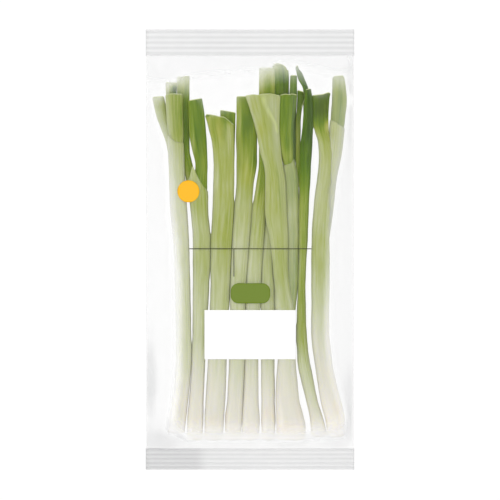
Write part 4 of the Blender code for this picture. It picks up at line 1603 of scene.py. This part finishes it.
    def _drape(self, onions: list[bpy.types.Object]) -> None:
        """Pulls the front taut over the onions, from fold to fold and from seal to seal.

        Args:
            onions: The onions under it.
        """
        self.under = self._highest_under(onions)
        wide = np.pad(self.under, 1, mode="edge")
        wide = np.maximum.reduce([wide[:-2], wide[1:-1], wide[2:]])
        wide = np.maximum.reduce([wide[:, :-2], wide[:, 1:-1], wide[:, 2:]])
        backs = self._backs(self.rows)[:, None]
        floor = np.maximum(np.where(wide > 0, wide + self.cling, 0.0), backs + self.mouth)
        held = np.zeros_like(floor, dtype=bool)
        held[:, 0] = held[:, -1] = True
        held[:2] = held[-2:] = True
        heights = floor.copy()
        heights[:2] = heights[-2:] = self.seal_height + self.mouth / 2
        for _ in range(self.rounds):
            _, left, right, below, above = self._beside(heights)
            pulled = self.pull_across * ((left + right) / 2) + (1 - self.pull_across) * ((below + above) / 2)
            heights = np.where(held, heights, np.maximum(pulled, floor))
        heights = np.maximum(heights + self._creases(), floor)
        for _ in range(self.easings):
            heights = np.where(held, heights, np.maximum(sum(self._beside(heights)) / 5, floor))
        self.heights = heights

    def _highest_under(self, onions: list[bpy.types.Object]) -> np.ndarray:
        """Finds the highest point of the onions under each of the front's points.

        Args:
            onions: The onions.

        Returns:
            The heights, 0 where no onion is.
        """
        graph = bpy.context.evaluated_depsgraph_get()
        trees = []
        for onion in onions:
            reach = [corner[0] / MM for corner in onion.bound_box]
            trees.append((min(reach), max(reach), BVHTree.FromObject(onion, graph)))
        down = Vector((0, 0, -1))
        heights = np.zeros((len(self.rows), len(self.columns)))
        for j, x in enumerate(self.columns):
            near = [tree for low, high, tree in trees if low - 1 < x < high + 1]
            for i, y in enumerate(self.rows):
                for step in PROBES:
                    start = Vector(((x + step * self.columns_pitch) * MM, (y + step) * MM, PROBE_HEIGHT))
                    for tree in near:
                        hit = tree.ray_cast(start, down)[0]
                        if hit:
                            heights[i, j] = max(heights[i, j], hit.z / MM)
        return heights

    def _creases(self) -> np.ndarray:
        """The puckers that run out of the two seals, and the slack of the side folds.

        Returns:
            How far each of the front's points is lifted.
        """
        x, y = np.meshgrid(self.columns, self.rows)
        lift = np.zeros_like(x)
        for way, count, reach, share in self.puckers:
            along = (y - (self.bottom if way > 0 else self.top)) * way
            for _ in range(count):
                start = self.random.uniform(-self.pucker_spread, self.pucker_spread)
                lean = self.random.uniform(-self.pucker_lean, self.pucker_lean)
                lean -= start / self.pucker_spread * self.pucker_lean
                length = self.random.uniform(0.5, 1.0) * reach
                width = self.random.uniform(*self.pucker_widths)
                height = self.random.uniform(*self.pucker_heights) * share
                off = np.abs(x - start - lean * along)
                fade = ramp(along, 0.0, 3.0) * ramp(along, length, length * 0.3)
                lift += height * np.exp(-((off / width) ** 2)) * fade
        side = ramp(np.abs(x), 56.0, 64.0) * ramp(self.width / 2 - np.abs(x), 0.0, 4.0)
        return lift + side * self.side_slack

    def _veil(self) -> tuple[np.ndarray, np.ndarray]:
        """How milky and how grey the front is.

        Returns:
            The share that each face of the film hides, and how grey it is, at each of the front's points.
        """
        x, y = np.meshgrid(self.columns, self.rows)
        places, starts, ends = zip(*self.tip_fades)
        start, end = np.interp(x, places, starts), np.interp(x, places, ends)
        tips = self.tip_gain * np.clip((y - start) / (end - start), 0.0, 1.0) ** self.tip_power
        ends, beside = self._root_ends()
        roots = np.interp(y - ends, *zip(*self.root_haze)) * ramp(beside, *self.root_sides)
        over = 1 - (1 - tips) * (1 - roots) * (1 - self._flanks(x, y)) * (1 - self.clear)
        filled = self._filled()
        steep = ramp(np.abs(np.gradient(self.heights, self.rows, axis=0)), *self.steep)
        # The painted fold shadows grey the margins and thicken their haze.
        dim = sum(shadow.grey * shadow.share(x, y) for shadow in self.shadows)
        margin = self.margin_haze * (1 - self.steep_clearing * steep) + self.shadow_haze * dim
        hidden = filled * over + (1 - filled) * np.maximum(margin, over)
        grey = self.margin_grey + dim
        over_grey = self.root_grey * ramp(roots, 0.0, 0.3) + self.tip_grey * ramp(tips, 0.0, 0.3)
        shade = over_grey * filled + grey * (1 - filled)
        return 1 - np.sqrt(1 - np.clip(hidden, 0.0, self.most_hidden)), np.clip(shade, 0.0, 1.0)

    def _root_ends(self) -> tuple[np.ndarray, np.ndarray]:
        """Finds where the root ends lie.

        Returns:
            At each of the front's columns, how far down the nearest root end reaches and how far beside the
            bunch the column is.
        """
        lowest = self.rows[(self.under > 0).argmax(axis=0)]
        rooted = (lowest > self.rows[0]) & (lowest < self.root_zone)
        ends = np.interp(self.columns, self.columns[rooted], lowest[rooted])
        for _ in range(3):
            wide = np.pad(ends, 1, mode="edge")
            ends = np.minimum(ends, np.minimum(wide[:-2], wide[2:]))
        ends = averaged(averaged(ends))
        span = self.columns[rooted]
        beside = np.maximum(span.min() - self.columns, self.columns - span.max())
        return ends[None, :], beside[None, :]

    def _flanks(self, x: np.ndarray, y: np.ndarray) -> np.ndarray:
        """How milky the film is where it bends down over the outermost onions, a haze that paints the film's
        pale glancing reflection there.

        Args:
            x: Places across.
            y: Places along.

        Returns:
            The share that it hides.
        """
        filled = self.under > 0
        some = filled.any(axis=1)
        haze = np.zeros_like(x)
        for side, gain, reach, fade in self.flanks:
            first = filled[:, ::-side].argmax(axis=1)
            edge = averaged(np.interp(self.rows, self.rows[some], self.columns[::-side][first][some]))
            inwards = side * (edge[:, None] - x)
            bend = ramp(inwards, reach, 0.0) * ramp(inwards, -3.0, 0.0)
            haze += gain * bend * (0.35 + 0.65 * ramp(y, *fade)) * some[:, None]
        return haze

    def _filled(self) -> np.ndarray:
        """Where the front lies over the bunch rather than over the empty margins.

        Returns:
            1 over the onions and the narrow gaps between them, falling softly to 0 beside them.
        """
        filled = (self.under > 0).astype(float)
        for gather in (np.maximum.reduce, np.minimum.reduce):
            for _ in range(3):
                filled = gather(self._beside(filled))
        for _ in range(5):
            filled = sum(self._beside(filled)) / 5
        return filled

    @staticmethod
    def _beside(values: np.ndarray) -> list[np.ndarray]:
        """Each point's own value and those of the four points beside it."""
        wide = np.pad(values, 1, mode="edge")
        return [wide[1:-1, 1:-1], wide[1:-1, :-2], wide[1:-1, 2:], wide[:-2, 1:-1], wide[2:, 1:-1]]

    def _path(self, row: int) -> list[tuple[float, float, float, float]]:
        """Follows the film's inner face round one row: lap, back, right fold, front, left fold and back.

        Args:
            row: The row's number.

        Returns:
            Across, height, veil and shade of each point.
        """
        back = float(self._backs(self.rows[row]))
        fold, crown = self.columns[-1], float(self.heights[row, -1])
        rise, half = crown - back, self.lap / 2
        near, far = fold + self.fold_bulge * 0.7, fold + self.fold_bulge
        turn = ((near, back + rise * 0.12), (far, (back + crown) / 2), (near, back + rise * 0.88))
        lap = [half * share for share in (-1, -0.5, 0, 0.5, 1)]
        spread = np.linspace(half + self.lap_rise, fold, 14)
        front = (self.columns, self.heights[row], self.veils[row], self.shades[row])
        path = [(x, back + self.wall + self.lap_gap, self.back_haze, 0.0) for x in lap]
        path += [(x, back, self.back_haze, 0.0) for x in spread]
        path += [(x, z, self.fold_haze, self.fold_painted_shade) for x, z in turn]
        path += list(zip(*front))[::-1]
        path += [(-x, z, self.fold_haze, self.fold_painted_shade) for x, z in reversed(turn)]
        path += [(-x, back, self.back_haze, 0.0) for x in spread[::-1]]
        path += [(x, back, self.back_haze, 0.0) for x in lap]
        return path

    def _tube(self, bm: bmesh.types.BMesh) -> None:
        """Folds a sheet into the tube and gives it its thickness.

        Args:
            bm: The bmesh to add to.
        """
        veil, shade = (bm.verts.layers.float[name] for name in ("veil", "shade"))
        self.veils, self.shades = self._veil()
        paths = np.array([self._path(row) for row in range(len(self.rows))])
        along, across = len(self.rows) - 1, paths.shape[1] - 1
        bmesh.ops.create_grid(bm, x_segments=across, y_segments=along, size=0.5)
        for vert in bm.verts:
            step, row = round((vert.co.x + 0.5) * across), round((vert.co.y + 0.5) * along)
            x, z, vert[veil], vert[shade] = paths[row, step]
            vert.co = Vector((x, self.rows[row], z)) * MM
        bmesh.ops.solidify(bm, geom=list(bm.faces), thickness=self.wall * MM)

    def _seal(self, bm: bmesh.types.BMesh, side: int, length: float) -> None:
        """Adds the crimped strip across one end.

        Args:
            bm: The bmesh to add to.
            side: 1 for the leaf end and -1 for the root end.
            length: The strip's length along the packet.
        """
        veil, shade = (bm.verts.layers.float[name] for name in ("veil", "shade"))
        (rib_size, rib_rate), (droop_size, droop_rate) = self.rib_waver, self.droop_waver
        edge_size, edge_rate = self.edge_waver
        inner = side * (self.length / 2 - length)
        steps = self.ribs * RIB_STEPS
        made = bmesh.ops.create_grid(bm, x_segments=SEAL_COLUMNS, y_segments=steps, size=0.5)["verts"]
        for vert in made:
            x = vert.co.x * self.width
            share = vert.co.y + 0.5
            phase = math.cos(2 * math.pi * self.ribs * share)
            wave = self.rib_height * phase * (1 - rib_size * math.sin(x * rib_rate))
            droop = self.seal_droop * share + droop_size * share * math.sin(x * droop_rate + side)
            edge = abs(edge_size * math.sin(x * edge_rate) * share ** 4)
            along = inner + side * (share * length - edge)
            vert.co = Vector((x, along, self.seal_height - droop + wave)) * MM
            vert[veil] = self.seal_haze
            corner = self.corner_grey * float(ramp(np.array(x), *self.corner)) if side < 0 else 0.0
            # The grooves between the ribs get painted shade.
            vert[shade] = self.seal_grey - self.rib_groove_shade * phase + corner
        faces = list({face for vert in made for face in vert.link_faces})
        bmesh.ops.recalc_face_normals(bm, faces=faces)
        bmesh.ops.solidify(bm, geom=faces, thickness=self.seal_wall * MM)

    def height_at(self, x: float, y: float) -> float:
        """The height of the front's outer face.

        Args:
            x: Place across.
            y: Place along.

        Returns:
            The height.
        """
        j = int(np.clip(np.searchsorted(self.columns, x) - 1, 0, len(self.columns) - 2))
        i = int(np.clip(np.searchsorted(self.rows, y) - 1, 0, len(self.rows) - 2))
        u = (x - self.columns[j]) / (self.columns[j + 1] - self.columns[j])
        v = (y - self.rows[i]) / (self.rows[i + 1] - self.rows[i])
        near = self.heights[i, j] * (1 - u) + self.heights[i, j + 1] * u
        far = self.heights[i + 1, j] * (1 - u) + self.heights[i + 1, j + 1] * u
        return float(near * (1 - v) + far * v) + self.wall


@dataclass(frozen=True)
class PrintedField:
    """A plain field printed on the front of the film, with no words on it."""

    name: str
    ink: PrintInk
    left: float
    right: float
    low: float
    high: float
    corner: float = 0.0
    pitch: float = 1.0
    lift: float = 0.12
    thickness: float = 0.05

    def build(self, film: FilmPacket) -> bpy.types.Object:
        """Lays the field on the film.

        Args:
            film: The packet that carries it.

        Returns:
            The finished piece.
        """
        bm = bmesh.new()
        self._outline(bm)
        across, along = Vector((1, 0, 0)), Vector((0, 1, 0))
        for normal, low, high in ((across, self.left, self.right), (along, self.low, self.high)):
            for place in np.arange(low + self.pitch, high - self.pitch * 0.2, self.pitch):
                parts = bm.verts[:] + bm.edges[:] + bm.faces[:]
                bmesh.ops.bisect_plane(bm, geom=parts, plane_co=normal * place, plane_no=normal)
        for vert in bm.verts:
            vert.co.z = film.height_at(vert.co.x, vert.co.y) + self.lift
            vert.co *= MM
        bmesh.ops.recalc_face_normals(bm, faces=bm.faces)
        if sum(face.normal.z for face in bm.faces) < 0:
            bmesh.ops.reverse_faces(bm, faces=bm.faces)
        bmesh.ops.solidify(bm, geom=list(bm.faces), thickness=self.thickness * MM)
        piece = finished(self.name, bm, self.ink.material())
        piece.visible_shadow = False
        return piece

    def _outline(self, bm: bmesh.types.BMesh) -> None:
        """Draws the field's flat outline as one face, with its corners rounded.

        Args:
            bm: The bmesh to add to.
        """
        middle = Vector(((self.left + self.right) / 2, (self.low + self.high) / 2, 0))
        half = Vector(((self.right - self.left) / 2, (self.high - self.low) / 2, 0))
        bmesh.ops.create_grid(bm, x_segments=1, y_segments=1, size=1.0)
        for vert in bm.verts:
            vert.co = middle + Vector((vert.co.x * half.x, vert.co.y * half.y, 0))
        if self.corner:
            bmesh.ops.bevel(
                bm,
                geom=list(bm.verts),
                offset=min(self.corner, half.x * 0.999, half.y * 0.999),
                segments=12,
                profile=0.5,
                affect="VERTICES",
                material=-1,
            )


WHITE = PrintInk("white_print", (253, 253, 253))
GREEN = PrintInk("green_print", (106, 128, 30))
YELLOW = PrintInk("yellow_print", (244, 182, 10))
DARK = PrintInk("dark_print", (72, 76, 52))
PRINT = (
    PrintedField("print_panel", WHITE, -30.9, 31.2, -74.5, -41.1),
    PrintedField("print_tab", GREEN, -13.1, 13.7, -36.6, -22.9, corner=5.4),
    PrintedField("print_rule_across", DARK, -41.1, 41.9, 0.15, 0.8, pitch=0.9),
    PrintedField("print_rule_down", DARK, -11.2, -10.6, -18.4, 0.15, pitch=0.9),
    PrintedField("print_disc", YELLOW, -49.3, -34.3, 32.0, 47.0, corner=7.5),
)


@dataclass
class Studio:
    """A white table that gives off light, an even sky, a soft lamp and the camera over them, in metres.

    The table looks brighter to the camera than the light that it gives off, so that the gaps between the
    stems stay white.
    """

    floor_size: float = 3.0
    floor_drop: float = 0.0005
    floor_grey: float = 0.1
    glow: float = 0.92
    bounce: float = 0.8
    sky: float = 0.74
    lamp_power: float = 7.5
    lamp_size: float = 0.9
    lamp_place: tuple[float, float, float] = (-0.16, 0.0, 1.35)
    view_width: float = 0.34
    lens: float = 300.0  # this and the next are in millimetres
    sensor: float = 36.0
    middle: tuple[float, float, float] = (0.0, -0.00034, 0.006)

    def build(self) -> None:
        """Builds the floor, the lights and the camera."""
        self._floor()
        self._lights()
        self._camera()

    def _floor(self) -> None:
        """Lays the table under the packet."""
        material, sheet, shader = new_material("white_table")
        seen = sheet.add("LightPath").outputs["Is Camera Ray"]
        surface = {
            "Base Color": (self.floor_grey, self.floor_grey, self.floor_grey, 1),
            "Roughness": 1.0,
            "Specular IOR Level": 0.0,
            "Emission Color": (1, 1, 1, 1),
            "Emission Strength": sheet.math("MULTIPLY_ADD", seen, self.glow - self.bounce, self.bounce),
        }
        sheet.feed(shader, surface)
        bm = bmesh.new()
        bmesh.ops.create_grid(bm, x_segments=1, y_segments=1, size=self.floor_size)
        table = new_object("table", new_mesh("table", bm, material))
        table.location.z = -self.floor_drop

    def _lights(self) -> None:
        """Sets the even sky and one large soft light overhead, a little to the left."""
        world = bpy.data.worlds.new("soft_sky")
        world.use_nodes = True
        background = world.node_tree.nodes["Background"]
        background.inputs["Color"].default_value = (1, 1, 1, 1)
        background.inputs["Strength"].default_value = self.sky
        bpy.context.scene.world = world
        light = bpy.data.lights.new("soft_box", "AREA")
        light.shape = "RECTANGLE"
        light.size, light.size_y = self.lamp_size, self.lamp_size
        light.energy = self.lamp_power
        lamp = new_object("soft_box", light)
        lamp.location = self.lamp_place
        lamp.rotation_euler = (-lamp.location).to_track_quat("-Z", "Y").to_euler()

    def _camera(self) -> None:
        """Hangs the camera straight above the packet."""
        data = bpy.data.cameras.new("overhead")
        data.lens, data.sensor_width = self.lens, self.sensor
        camera = new_object("overhead", data)
        x, y, z = self.middle
        camera.location = (x, y, z + self.view_width * self.lens / self.sensor)
        bpy.context.scene.camera = camera
        bpy.context.scene.view_settings.view_transform = "Standard"


def main() -> None:
    """Builds the onions, the film over them, its print and the studio, in that order."""
    logging.basicConfig(level=logging.INFO, format="%(message)s")
    grain = grain_group()
    onions = Bunch(ONIONS, SLOTS).build(OnionSkin().material(grain))
    packet = FilmPacket()
    film = packet.build(onions, ClearFilm().material(grain))
    LOG.info("%s: %d faces", film.name, len(film.data.polygons))
    for printed in PRINT:
        piece = printed.build(packet)
        LOG.info("%s: %d faces", piece.name, len(piece.data.polygons))
    Studio().build()


if __name__ == "__main__":
    main()
